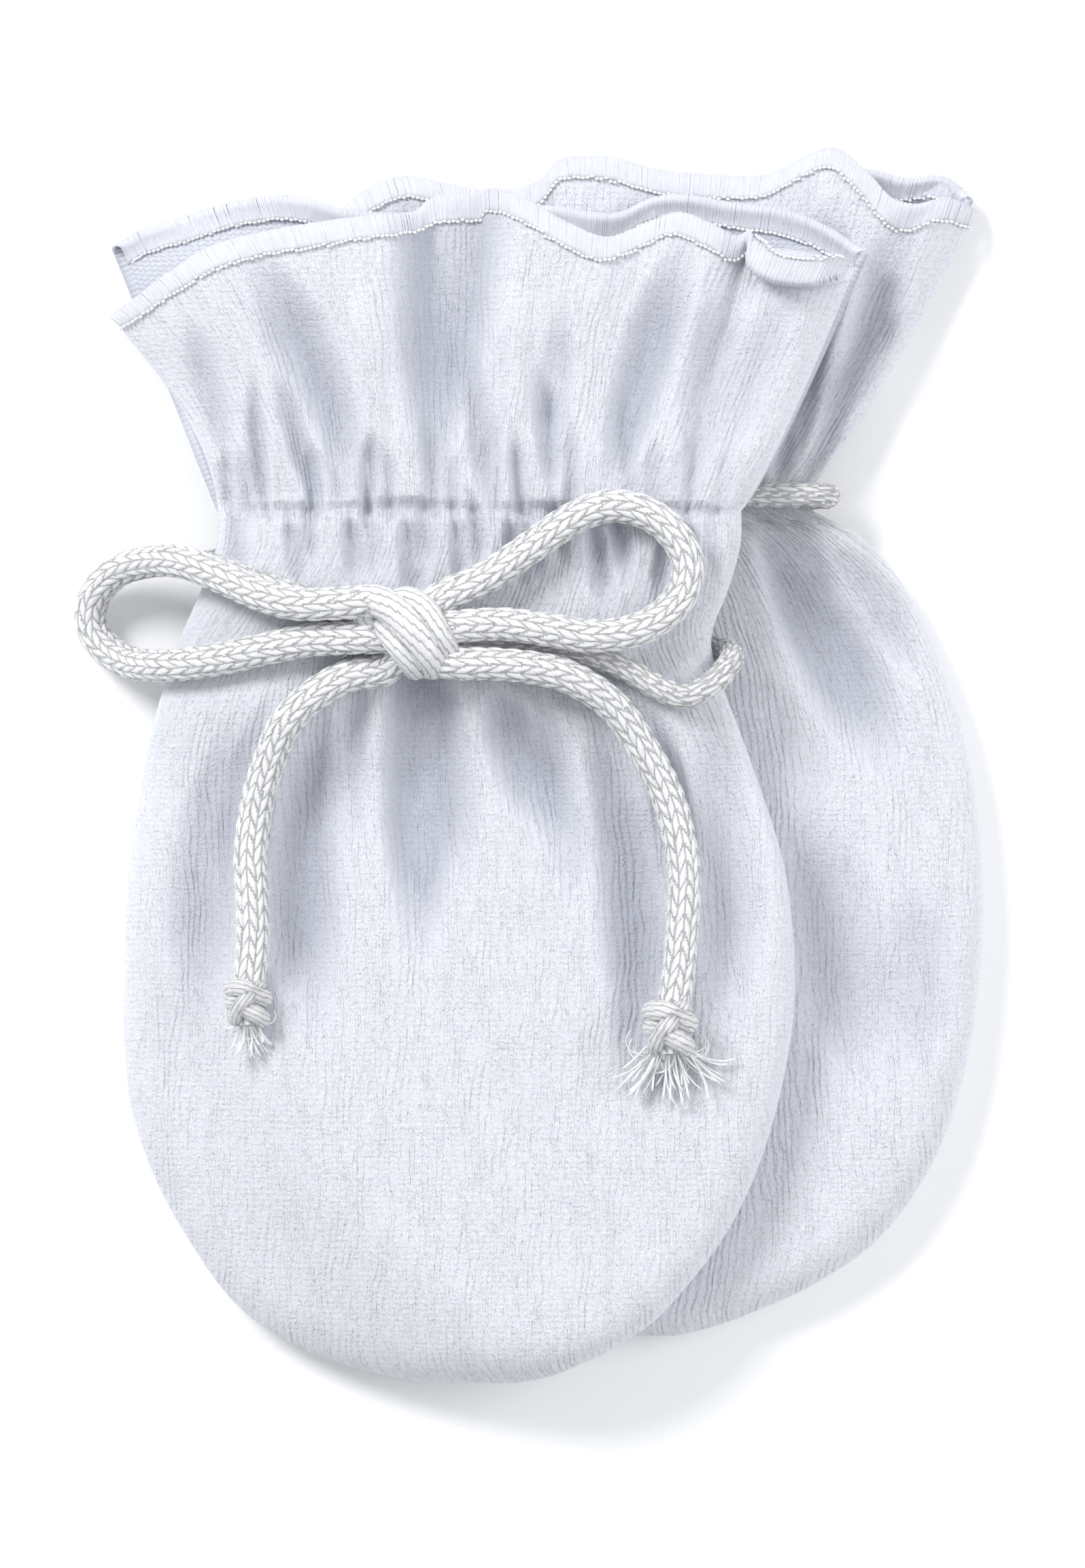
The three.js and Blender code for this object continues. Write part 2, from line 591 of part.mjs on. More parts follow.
const NEAR_LOOP_LEFT = [
  { x: -14.4, y: 15.8, z: 20.8 },
  { x: -17.8, y: 17.6, z: 22.2 },
  { x: -22.4, y: 17.5, z: 22.5 },
  { x: -26.6, y: 17.5, z: 21.4 },
  { x: -30.6, y: 18.5, z: 19.0 },
  { x: -35.0, y: 20.5, z: 15.7 },
  { x: -39.4, y: 22.2, z: 11.9 },
  { x: -43.4, y: 22.4, z: 7.6 },
  { x: -47.1, y: 21.3, z: 4.8 },
  { x: -49.6, y: 18.6, z: 2.9 },
  { x: -49.9, y: 15.3, z: 2.3 },
  { x: -48.0, y: 12.7, z: 3.2 },
  { x: -45.2, y: 11.3, z: 5.8 },
  { x: -42.4, y: 11.0, z: 9.7 },
  { x: -39.4, y: 11.1, z: 12.5 },
  { x: -35.0, y: 11.7, z: 15.1 },
  { x: -29.7, y: 12.8, z: 18.0 },
  { x: -25.4, y: 13.6, z: 19.4 },
  { x: -21.6, y: 13.8, z: 20.7 },
  { x: -17.6, y: 13.9, z: 21.0 },
  { x: -14.4, y: 14.0, z: 20.4 },
];
const NEAR_LOOP_RIGHT = [
  { x: -13.6, y: 15.4, z: 20.2 },
  { x: -11.4, y: 17.9, z: 20.6 },
  { x: -6.4, y: 20.3, z: 20.0 },
  { x: -1.2, y: 23.8, z: 19.3 },
  { x: 2.9, y: 26.6, z: 19.0 },
  { x: 6.6, y: 28.1, z: 19.0 },
  { x: 10.4, y: 27.7, z: 19.0 },
  { x: 13.7, y: 25.6, z: 19.0 },
  { x: 15.6, y: 22.3, z: 19.0 },
  { x: 15.1, y: 18.9, z: 19.1 },
  { x: 12.7, y: 16.1, z: 19.8 },
  { x: 9.3, y: 14.5, z: 21.2 },
  { x: 5.0, y: 14.0, z: 22.1 },
  { x: 0.9, y: 14.6, z: 22.2 },
  { x: -4.4, y: 15.3, z: 22.0 },
  { x: -9.4, y: 15.0, z: 22.0 },
  { x: -13.6, y: 14.4, z: 20.4 },
];
const NEAR_TAIL_LEFT = [
  { x: -14.6, y: 12.6, z: 19.8 },
  { x: -17.2, y: 10.5, z: 19.2 },
  { x: -21.2, y: 9.7, z: 19.1 },
  { x: -25.0, y: 7.6, z: 19.1 },
  { x: -27.9, y: 4.7, z: 18.5 },
  { x: -29.8, y: 0.6, z: 17.0 },
  { x: -31.1, y: -3.8, z: 16.1 },
  { x: -31.9, y: -9.6, z: 15.9 },
  { x: -31.7, y: -14.5, z: 16.1 },
  { x: -31.6, y: -19.0, z: 16.0 },
  { x: -32.1, y: -24.0, z: 15.8 },
];
const NEAR_TAIL_RIGHT = [
  { x: -13.6, y: 12.6, z: 20.2 },
  { x: -10.4, y: 11.2, z: 21.9 },
  { x: -5.6, y: 11.0, z: 21.9 },
  { x: -0.7, y: 10.5, z: 21.6 },
  { x: 2.9, y: 9.5, z: 21.0 },
  { x: 7.6, y: 6.4, z: 19.3 },
  { x: 10.9, y: 1.6, z: 18.0 },
  { x: 13.3, y: -2.9, z: 17.2 },
  { x: 14.7, y: -7.7, z: 17.1 },
  { x: 15.3, y: -12.2, z: 17.1 },
  { x: 15.1, y: -17.0, z: 17.1 },
  { x: 14.8, y: -21.6, z: 17.1 },
  { x: 14.0, y: -26.8, z: 17.4 },
];
const FAR_RING = [
  { x: 3.0, y: 28.6, z: 8.9 },
  { x: 10.0, y: 29.1, z: 8.9 },
  { x: 18.0, y: 29.5, z: 8.9 },
  { x: 24.0, y: 29.7, z: 9.0 },
  { x: 28.0, y: 29.7, z: 8.9 },
  { x: 30.6, y: 29.7, z: 7.7 },
  { x: 31.4, y: 29.7, z: 5.3 },
  { x: 30.6, y: 29.7, z: 2.9 },
  { x: 27.4, y: 29.7, z: 1.9 },
  { x: 18.0, y: 29.5, z: 1.8 },
  { x: 5.0, y: 29.2, z: 1.8 },
  { x: -10.0, y: 29.0, z: 1.8 },
  { x: -17.6, y: 29.4, z: 1.9 },
  { x: -21.2, y: 29.6, z: 2.8 },
  { x: -22.3, y: 29.6, z: 5.2 },
  { x: -21.6, y: 29.6, z: 7.6 },
  { x: -18.6, y: 29.4, z: 8.9 },
  { x: -9.0, y: 28.8, z: 8.9 },
  { x: 1.0, y: 28.5, z: 8.9 },
];

// Knots, each a rounded lump with turns of cord over it. A turn is an arch from (x0, y0) to (x1, y1),
// measured from the knot's middle.
const BOW_KNOT = { x: -14.3, y: 14.4, z: 20.3, wide: 9.2, long: 8.6, high: 5.8 };
const FAR_KNOT = { x: 2.0, y: 28.5, z: 9.1, wide: 7.6, long: 6.2, high: 3.2 };
const END_KNOTS = [
  { name: 'left', x: -32.2, y: -25.7, z: 15.9, wide: 4.4, long: 5.8, high: 4.4 },
  { name: 'right', x: 13.6, y: -28.4, z: 17.8, wide: 5.2, long: 6.4, high: 4.6 },
];
const BOW_TURNS = [
  { x0: 0.2, y0: 3.0, x1: 1.6, y1: -3.0, rise: 1.9, radius: 1.9 },
  { x0: -3.0, y0: 1.6, x1: -0.4, y1: 3.0, rise: 1.3, radius: 1.6 },
];
const END_TURNS = [{ x0: -1.1, y0: 1.5, x1: 1.1, y1: -1.5, rise: 1.0, radius: 1.35 }];

// The frayed ends. The strands fan out from an end knot's lower end, and floor is the cloth's height there.
const FRAYS = {
  left: { strands: 9, reach: 4.4, spread: 1.9, lean: 0.0, curl: 0.4, floor: 13.5 },
  right: { strands: 15, reach: 6.0, spread: 4.3, lean: 0.9, curl: 1.1, floor: 15.3 },
};
const KNOT_SIDES = 12;
const END_KNOT_SIDES = 8;
const KNOT_RINGS = 0.7; // for each side
const TURN_STEPS = 5; // along a turn of cord over a knot
const STRAND_SIDES = 3;
const STRAND_STEPS = 3;
const STRAND_ROOT = 1.2; // how far a strand's root is inside its knot
const STRAND_TURN = 2.4; // radians from one strand's unevenness to the next one's
const STRAND_UNEVEN = 0.22;
const STRAND_LAYERS = 3;
const STRAND_LAYER = 0.75;
const STEPS_PER_LENGTH = 1 / 4.2; // of a cord, per millimetre
const MERGE_GAP = 1e-3; // points closer than this are one

function circleShape(radius, sides) {
  const shape = new THREE.Shape();
  for (let i = 0; i < sides; i++) {
    const angle = (2 * Math.PI * i) / sides;
    if (i === 0) {
      shape.moveTo(radius, 0);
    } else {
      shape.lineTo(radius * Math.cos(angle), radius * Math.sin(angle));
    }
  }
  shape.closePath();
  return shape;
}

function tubeGeometry(points, radius, sides, steps) {
  const curve = new THREE.CatmullRomCurve3(points.map((p) => new THREE.Vector3(p.x, p.y, p.z)));
  return new THREE.ExtrudeGeometry(circleShape(radius, sides), {
    steps: steps ?? Math.ceil(curve.getLength() * STEPS_PER_LENGTH),
    extrudePath: curve,
    bevelEnabled: false,
  });
}

// Joining and cutting
function toSolid(geometry) {
  const bare = geometry.clone();
  bare.deleteAttribute('normal');
  bare.deleteAttribute('uv');
  const merged = mergeVertices(bare, MERGE_GAP);
  return new wasm.Manifold(
    new wasm.Mesh({
      numProp: 3,
      vertProperties: merged.attributes.position.array,
      triVerts: new Uint32Array(merged.index.array),
    }),
  );
}

function toGeometry(solid) {
  const mesh = solid.getMesh();
  const geometry = new THREE.BufferGeometry();
  geometry.setAttribute('position', new THREE.BufferAttribute(mesh.vertProperties, 3));
  geometry.setIndex(new THREE.BufferAttribute(mesh.triVerts, 1));
  return geometry;
}

// A rounded lump with its axes along X, Y and Z
function lump(place, wide, long, high, sides) {
  const geometry = new THREE.SphereGeometry(1, sides, Math.ceil(sides * KNOT_RINGS));
  geometry.scale(wide / 2, long / 2, high / 2);
  geometry.translate(place.x, place.y, place.z);
  return toSolid(geometry);
}

// A turn of cord over a knot, in an arch from one side to the other
function turnOver(knot, turn, grow) {
  const start = { x: knot.x + turn.x0, y: knot.y + turn.y0, z: knot.z };
  const end = { x: knot.x + turn.x1, y: knot.y + turn.y1, z: knot.z };
  const middle = { x: (start.x + end.x) / 2, y: (start.y + end.y) / 2, z: knot.z + turn.rise };
  return toSolid(tubeGeometry([start, middle, end], turn.radius + grow, CORD_SIDES, TURN_STEPS));
}

// A knot, grown all over by the same amount
function knotSolid(knot, turns, sides, grow) {
  let solid = lump(knot, knot.wide + 2 * grow, knot.long + 2 * grow, knot.high + 2 * grow, sides);
  for (const turn of turns) {
    solid = solid.add(turnOver(knot, turn, grow));
  }
  return solid;
}

const bowKnotSolid = (grow) => knotSolid(BOW_KNOT, BOW_TURNS, KNOT_SIDES, grow);
const farKnotSolid = (grow) => knotSolid(FAR_KNOT, [], KNOT_SIDES, grow);
const endKnotSolid = (knot, grow) => knotSolid(knot, END_TURNS, END_KNOT_SIDES, grow);

// One frayed strand. Its number sets its direction, length and curl.
function strandSolid(knot, fray, number) {
  const side = (2 * number + 1) / fray.strands - 1;
  const uneven = Math.sin(number * STRAND_TURN);
  const reach = fray.reach * (1 - STRAND_UNEVEN + STRAND_UNEVEN * uneven);
  const layer = STRAND_LAYER * (0.5 + (number % STRAND_LAYERS));
  const across = fray.lean + side * fray.spread;
  const edge = knot.y - knot.long / 2;
  const low = fray.floor + STRAND_RADIUS + layer;
  const points = [
    { x: knot.x + (side * knot.wide) / 3, y: edge + STRAND_ROOT, z: knot.z - STRAND_ROOT / 2 },
    { x: knot.x + (across + fray.curl * uneven) / 2, y: edge - reach * 0.4, z: mix(knot.z, low, 0.8) },
    { x: knot.x + across, y: edge - reach * 0.85, z: low },
    { x: knot.x + across + fray.curl * uneven, y: edge - reach, z: low },
  ];
  return toSolid(tubeGeometry(points, STRAND_RADIUS, STRAND_SIDES, STRAND_STEPS));
}

function frayedKnotSolid(knot) {
  const fray = FRAYS[knot.name];
  let solid = endKnotSolid(knot, 0);
  for (let i = 0; i < fray.strands; i++) {
    solid = solid.add(strandSolid(knot, fray, i));
  }
  return solid;
}

// A cord's tube, stopped short of the knots that it runs into
function cordGeometry(points, diameter, knots) {
  let tube = toSolid(tubeGeometry(points, diameter / 2, CORD_SIDES));
  for (const knot of knots) {
    tube = tube.subtract(knot);
  }
  return toGeometry(tube);
}

// Materials
const velour = new THREE.MeshStandardMaterial({ color: 0xeef0f7, roughness: 0.95, metalness: 0 });
const cotton = new THREE.MeshStandardMaterial({ color: 0xf3f3f2, roughness: 0.8, metalness: 0 });

// The pieces
const group = new THREE.Group();

function addPiece(name, geometry, material) {
  const mesh = new THREE.Mesh(geometry, material.clone());
  mesh.name = name;
  group.add(mesh);
}

addPiece('far_mitten_back', panelGeometry(farBack), velour);
addPiece('far_mitten_front', panelGeometry(farFront), velour);
addPiece('near_mitten_back', panelGeometry(nearBack), velour);
addPiece('near_mitten_front', panelGeometry(nearFront), velour);

const bowKnotRoom = bowKnotSolid(SEAM_GAP);
addPiece('near_bow_knot', toGeometry(bowKnotSolid(0)), cotton);
addPiece('near_cord_ring', cordGeometry(NEAR_RING, RING_DIAMETER, [bowKnotRoom]), cotton);
addPiece('near_loop_left', cordGeometry(NEAR_LOOP_LEFT, CORD_DIAMETER, [bowKnotRoom]), cotton);
addPiece('near_loop_right', cordGeometry(NEAR_LOOP_RIGHT, CORD_DIAMETER, [bowKnotRoom]), cotton);
const tails = { left: NEAR_TAIL_LEFT, right: NEAR_TAIL_RIGHT };
for (const knot of END_KNOTS) {
  const endKnotRoom = endKnotSolid(knot, SEAM_GAP);
  const tail = cordGeometry(tails[knot.name], CORD_DIAMETER, [bowKnotRoom, endKnotRoom]);
  addPiece('near_tail_' + knot.name, tail, cotton);
  addPiece('near_end_knot_' + knot.name, toGeometry(frayedKnotSolid(knot)), cotton);
}
addPiece('far_knot', toGeometry(farKnotSolid(0)), cotton);
addPiece('far_cord_ring', cordGeometry(FAR_RING, RING_DIAMETER, [farKnotSolid(SEAM_GAP)]), cotton);

export default group;
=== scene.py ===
from random import Random

import bpy
import numpy as np
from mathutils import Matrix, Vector


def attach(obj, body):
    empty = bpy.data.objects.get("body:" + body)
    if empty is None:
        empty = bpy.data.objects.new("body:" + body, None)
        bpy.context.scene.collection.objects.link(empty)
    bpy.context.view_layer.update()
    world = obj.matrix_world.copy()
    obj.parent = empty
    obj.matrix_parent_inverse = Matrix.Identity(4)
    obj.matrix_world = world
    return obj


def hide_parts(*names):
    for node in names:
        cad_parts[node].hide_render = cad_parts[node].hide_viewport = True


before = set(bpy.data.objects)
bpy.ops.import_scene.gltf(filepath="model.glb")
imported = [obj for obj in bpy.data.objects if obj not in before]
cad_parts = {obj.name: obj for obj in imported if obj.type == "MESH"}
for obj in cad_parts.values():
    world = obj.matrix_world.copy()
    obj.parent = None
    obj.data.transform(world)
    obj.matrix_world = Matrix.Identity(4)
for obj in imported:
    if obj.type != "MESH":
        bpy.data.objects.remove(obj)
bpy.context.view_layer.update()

MM = 0.001
SEED = 7

# The photograph's frame, and the camera straight above it
PHOTO_HEIGHT_PX = 2306
PX_PER_MM = 13.4
VIEW_X = -0.1
VIEW_Y = -2.0
VIEW_PLANE = 8.0  # height at which the scale is exact
LENS = 200.0
SENSOR = 36.0

# Sizes of the cloth as it lies
WALL = 1.3
WALL_LOSS = 0.35  # share of the wall that is pressed flat at the hem
SEAM_GAP = 0.05
BODY_HEIGHT = 7.3
SEAM_HEIGHT = 3.5
EDGE_ROUND = 4.5
UNDER_ROUND = 3.0
REST_LIFT = BODY_HEIGHT + 0.4
DRAPE_FAR = 20.0
DRAPE_NEAR = 0.8
FLARE_LENGTH = 22.0
CUT_WIDTH = 78.0  # of the cloth at the gathered wrist, laid flat
CUT_LENGTH = 36.0  # from the gather line down to where the cloth lies flat
HEM_SEAM = 2.4
HEM_OPEN = 0.5
HEM_ROOM = 0.8
HEM_BEND = 2.6  # length of cloth over which a hem turns
HEM_OVER = 3.0  # length of cloth from where the turn starts to the edge

# How a fold is drawn from its row in a table
FOLD_COLUMNS = "x0 y0 x1 y1 x2 y2 w0 w2 depth"
FOLD_GAIN = 1.45
FOLD_REACH = 1.5
FOLD_FADE = 0.4
FOLD_START = 0.06
FOLD_END = 0.02
FOLD_POINT = 0.45  # share of its width that a fold keeps at its ends
FOLD_SIDE = 1.3  # how far the folds lie to the right of their shaded sides
SHADE_DEPTH = 2.8  # a fold this deep gets the full painted shade in the velour's colour

# How the puckers vary. One that ends above PUCKER_LINE is drawn down through the gather line.
PUCKER_SEED = 4
PUCKER_LINE = 27.0
PUCKER_END = 25.4
PUCKER_BENDS = (-0.7, -0.4, 0.4, 0.7)  # sideways, at a pucker's middle
PUCKER_DROPS = (0.0, 0.3, 0.6, 0.9)  # at an upper one's lower end
PUCKER_RISES = (1.2, 2.2, 3.7, 5.2)  # at its upper end
PUCKER_LOW_RISES = (2.3, 2.9, 3.2)  # at a lower one's upper end
PUCKER_LONGER = 1.5  # at its lower end
PUCKER_WIDER = (1.25, 1.3)  # at an upper one's upper end, and at a lower one's lower end
PUCKER_HELD = 0.75  # first share of the depth
PUCKER_DEEPER = (1.25, 1.45, 1.75)
PUCKER_EASED = 0.85  # last share of the depth

# Detail of a panel's mesh
ROLL_STEPS = 10  # columns or rows over a rolled edge
COARSE = 4  # the inner face has one column and row for so many of the outer face

# Cords, their knit and their loose fibres
CORD_DIAMETER = 3.5
RING_DIAMETER = 2.6  # drawn tight
KNIT_WALES = 6  # columns of stitches round the cord
KNIT_PITCH = 1.9  # length of a stitch
KNIT_SLANT = 0.9  # how far a stitch's leg runs along the cord, in stitches, over half a wale
KNIT_RELIEF = 0.29
PLY_STRANDS = 11  # ridges round a plain turn of cord over a knot
PLY_RELIEF = 0.14
FUZZ_PER_MM = 6.0
FUZZ_PER_MM_OF_TURN = 9
FUZZ_PER_END_TURN = 26
FUZZ_RADIUS = 0.017
FUZZ_LOWEST = 0.1
FRAY_STRAIGHT = 0.86  # share of the frayed filaments that don't curl back

# The overlock round the hems
HEM_BAND = 2.7  # width of the overlock stitch
HEM_PITCH = 0.21  # between threads
HEM_THREAD = 0.17  # a thread's radius
HEM_LOWEST = 0.25  # the threads stay above the surface
HEM_STEPS = 6  # points of a thread on each face of the cloth
HEM_SLANT = 0.0016  # how far a thread leans, as a share of the hem
HEM_SWELL = 0.1  # how far the threads stand off the edge
HEM_TURN = 0.3  # how far they reach past it
HEM_WOBBLE = 0.012
HEM_ENDS = (0.003, 0.997)  # shares of the hem between which there is sewing
CHAIN_PITCH = 0.52  # between the loops of the chain line
CHAIN_LOOP = 0.42  # length of a loop
CHAIN_LIFT = 0.22
CHAIN_WAVE = (0.0, 0.1, 0.16, 0.1, 0.0)  # height along a loop
CHAIN_RADIUS = (0.08, 0.16, 0.19, 0.16, 0.08)

# Velour's knit, and the light
WALE_PITCH = 0.78
ROW_PITCH = 0.62
WORLD_LIGHT = 0.57
# Each light's name, place and size in metres, and power in watts
LIGHTS = (
    ("key", (-0.66, 0.62, 0.86), 0.45, 11.2),
    ("fill", (0.9, 0.16, 0.8), 0.8, 6.4),
)
FLOOR_HALF = 1500.0
FLOOR_DEPTH = 0.3


def table(names, *rows):
    """A short table with named columns."""
    return {name: np.array(column, float) for name, column in zip(names.split(), zip(*rows))}


# Outlines of the two pouches, from the gathered wrist to the fingertips
NEAR_BODY = table(
    "y left right",
    (27.8, -35.8, 21.6),
    (24.0, -35.9, 21.5),
    (19.3, -37.6, 20.2),
    (13.9, -40.0, 18.3),
    (9.1, -41.6, 19.4),
    (3.9, -43.1, 21.4),
    (-3.4, -44.6, 24.1),
    (-10.7, -45.6, 26.3),
    (-18.0, -46.1, 27.3),
    (-25.0, -46.3, 27.5),
    (-31.0, -46.2, 26.9),
    (-38.0, -45.4, 25.4),
    (-45.5, -42.8, 22.9),
    (-51.8, -39.4, 19.6),
    (-57.4, -35.6, 15.3),
    (-61.0, -32.0, 11.8),
    (-63.8, -27.5, 7.6),
    (-65.7, -22.8, 3.6),
    (-67.0, -17.6, 0.4),
    (-67.7, -13.0, -3.4),
)
FAR_BODY = table(
    "y left right",
    (29.7, -19.4, 28.2),
    (27.8, -20.4, 30.0),
    (25.4, -21.4, 34.6),
    (20.5, -22.3, 39.2),
    (15.0, -23.2, 42.2),
    (8.0, -24.4, 45.0),
    (0.0, -25.4, 47.1),
    (-10.0, -26.1, 48.3),
    (-18.0, -26.0, 48.4),
    (-25.0, -25.4, 47.9),
    (-33.0, -23.9, 46.6),
    (-40.5, -21.2, 44.4),
    (-47.5, -16.8, 40.7),
    (-53.0, -12.2, 36.0),
    (-57.3, -7.3, 29.6),
    (-60.0, -2.6, 23.6),
    (-61.8, 2.6, 18.8),
    (-62.8, 7.2, 14.6),
)

# Hems of the ruffle cuffs, from the left side seam to the right one, with the outer face's height, the angle
# by which the hem turns, and the length of cloth that turns where it isn't HEM_OVER
NEAR_HEM_FRONT = table(
    "x y lift turn over",
    (-48.4, 50.2, 4.6, -75, 3.0),
    (-45.5, 51.6, 6.4, -62, 3.0),
    (-41.2, 54.1, 8.0, -48, 3.0),
    (-36.5, 56.6, 8.6, -38, 3.0),
    (-30.9, 58.1, 9.1, -34, 3.0),
    (-24.6, 59.2, 9.1, -34, 3.0),
    (-18.8, 60.1, 8.8, -40, 3.0),
    (-15.6, 60.6, 8.6, -55, 3.0),
    (-13.8, 61.0, 7.8, -50, 3.0),
    (-12.8, 61.6, 6.4, -20, 3.0),
    (-11.5, 62.1, 5.3, -10, 2.6),
    (-9.3, 62.3, 4.7, -10, 2.6),
    (-6.9, 62.3, 5.4, -10, 2.6),
    (-6.2, 63.1, 7.2, -30, 3.0),
    (-4.4, 62.9, 8.4, -40, 3.0),
    (-1.2, 61.4, 8.9, -38, 3.0),
    (2.6, 59.2, 9.1, -34, 3.0),
    (6.8, 57.6, 8.4, -28, 3.0),
    (10.9, 59.0, 7.4, -28, 3.0),
    (14.6, 60.4, 8.4, -38, 3.0),
    (18.2, 59.1, 9.1, -32, 3.0),
    (21.0, 57.6, 8.0, -20, 3.0),
    (22.2, 57.8, 7.4, 55, 2.6),
    (22.9, 58.5, 7.0, 125, 2.9),
    (24.0, 59.9, 7.2, 158, 4.5),
    (27.4, 60.3, 7.6, 165, 5.5),
    (31.8, 59.3, 6.8, 160, 5.3),
    (35.4, 57.6, 4.8, 130, 4.6),
)
NEAR_HEM_BACK = table(
    "x y lift turn",
    (-47.7, 57.3, 1.2, 45),
    (-44.7, 59.0, 0.6, 40),
    (-39.3, 60.5, 0.0, 30),
    (-34.5, 61.9, 1.3, 35),
    (-29.7, 62.5, 1.9, 30),
    (-25.9, 62.1, 1.9, 24),
    (-21.4, 60.6, 1.5, 10),
    (-14.9, 60.3, 0.2, 5),
    (-5.9, 60.7, 0.4, 5),
    (0.8, 61.1, 1.7, 15),
    (5.6, 60.4, 1.6, 20),
    (8.6, 60.6, 1.0, 22),
    (12.0, 62.3, 0.9, 32),
    (15.7, 62.6, 1.6, 36),
    (20.9, 61.6, 2.0, 30),
    (26.3, 60.9, 1.0, 26),
    (31.0, 59.3, 0.4, 34),
    (35.7, 56.3, 1.2, 45),
)
FAR_HEM_FRONT = table(
    "x y lift turn",
    (-33.0, 54.0, 4.4, -60),
    (-28.4, 57.4, 5.8, -45),
    (-23.3, 60.4, 6.8, -35),
    (-19.8, 63.4, 7.2, -42),
    (-15.5, 65.1, 7.2, -48),
    (-10.4, 64.1, 7.0, -36),
    (-5.3, 63.2, 6.4, -24),
    (-0.6, 64.4, 6.8, -40),
    (1.6, 66.9, 7.8, -55),
    (4.4, 67.2, 8.2, -48),
    (7.9, 66.9, 8.2, -40),
    (12.6, 65.6, 7.6, -32),
    (18.7, 65.0, 6.8, -28),
    (24.7, 65.1, 7.0, -34),
    (28.6, 67.0, 8.0, -46),
    (32.0, 68.2, 8.4, -52),
    (35.2, 65.8, 8.7, -44),
    (38.2, 62.3, 8.2, -20),
    (41.0, 61.3, 7.4, 10),
    (44.4, 62.4, 6.8, -30),
    (48.2, 61.8, 4.6, -60),
)
FAR_HEM_BACK = table(
    "x y lift turn",
    (-32.6, 55.0, 0.6, 30),
    (-23.1, 59.8, 0.2, 20),
    (-14.9, 62.0, 0.0, 20),
    (-2.9, 61.8, 0.0, 15),
    (7.5, 64.2, 1.0, 25),
    (18.7, 63.6, 0.0, 15),
    (28.4, 64.6, 0.8, 25),
    (35.3, 65.9, 1.5, 30),
    (40.2, 65.0, 1.4, 35),
    (44.4, 65.2, 0.8, 35),
    (47.6, 62.6, 1.0, 40),
)

# Folds, pleats and gathers, each from (x0, y0) past (x1, y1) to (x2, y2), with half widths and depth.
# A negative depth is a ridge.
NEAR_FOLDS = table(
    FOLD_COLUMNS,
    (-33.0, 56.0, -25.4, 42.0, -20.4, 28.6, 3.6, 1.8, 2.2),
    (-30.2, 43.0, -27.8, 35.0, -26.2, 27.4, 1.5, 1.0, 1.7),
    (-10.0, 78.0, -12.2, 48.0, -13.7, 28.2, 7.0, 2.0, 3.4),
    (-8.8, 46.0, -8.6, 36.0, -7.4, 27.4, 1.4, 1.0, 1.7),
    (-1.7, 44.0, -0.8, 36.0, 0.1, 27.4, 1.4, 1.0, 1.8),
    (14.8, 58.0, 8.8, 41.0, 5.6, 28.4, 3.2, 1.9, 2.4),
    (19.0, 53.0, 17.2, 42.0, 14.6, 29.4, 3.2, 2.2, 1.2),
    (-35.6, 28.3, -30.0, 27.1, -22.0, 28.3, 0.9, 0.9, 0.7),
    (-26.0, 27.7, -17.0, 28.5, -6.0, 27.6, 0.9, 1.0, 0.9),
    (-9.0, 28.2, 0.0, 27.2, 9.0, 28.0, 1.0, 0.9, 0.8),
    (5.0, 27.6, 14.0, 27.9, 21.4, 27.3, 0.9, 0.8, 0.6),
    (-29.4, 28.2, -28.4, 23.6, -27.4, 17.8, 0.8, 1.2, 1.3),
    (-22.6, 28.4, -22.2, 23.6, -21.2, 18.2, 0.8, 1.3, 1.4),
    (-16.4, 28.4, -15.8, 23.0, -14.8, 15.6, 0.9, 1.5, 1.5),
    (-11.0, 28.2, -10.6, 23.6, -9.6, 18.0, 0.8, 1.2, 1.2),
    (-5.2, 28.4, -4.6, 24.0, -3.2, 18.6, 0.8, 1.3, 1.3),
    (3.8, 28.0, 4.6, 22.4, 6.0, 15.2, 0.9, 1.5, 1.5),
    (12.6, 27.8, 12.0, 22.6, 11.4, 16.8, 0.8, 1.3, 1.1),
    (-14.6, 18.0, -15.0, 2.0, -14.4, -24.0, 3.0, 3.4, 3.8),
    (-24.6, 7.6, -29.4, -10.0, -26.4, -32.6, 2.6, 4.0, 2.6),
    (-7.2, 9.6, -4.0, 0.8, 1.4, -9.4, 2.4, 3.2, 2.5),
    (4.0, 5.4, 10.4, -13.0, 9.4, -36.4, 2.8, 3.8, 2.2),
    (16.2, 8.0, 20.2, -10.0, 18.4, -34.6, 2.6, 3.6, 1.2),
    (-34.0, 6.6, -39.0, -12.0, -37.6, -31.0, 3.0, 4.2, 1.5),
)
FAR_FOLDS = table(
    FOLD_COLUMNS,
    (31.6, 62.8, 29.0, 47.0, 26.6, 31.6, 4.2, 2.0, 2.2),
    (40.0, 61.6, 35.4, 46.0, 29.2, 32.4, 3.4, 1.6, 1.8),
    (22.8, 28.6, 31.0, 16.0, 38.9, -3.0, 2.6, 4.6, 3.0),
    (30.0, 25.6, 37.0, 18.0, 41.6, 8.6, 1.8, 2.6, 1.2),
    (27.6, -2.0, 31.8, -20.0, 36.8, -38.0, 4.0, 5.2, 1.4),
    (40.0, -12.0, 42.4, -24.0, 40.2, -36.0, 3.2, 3.6, 0.9),
)
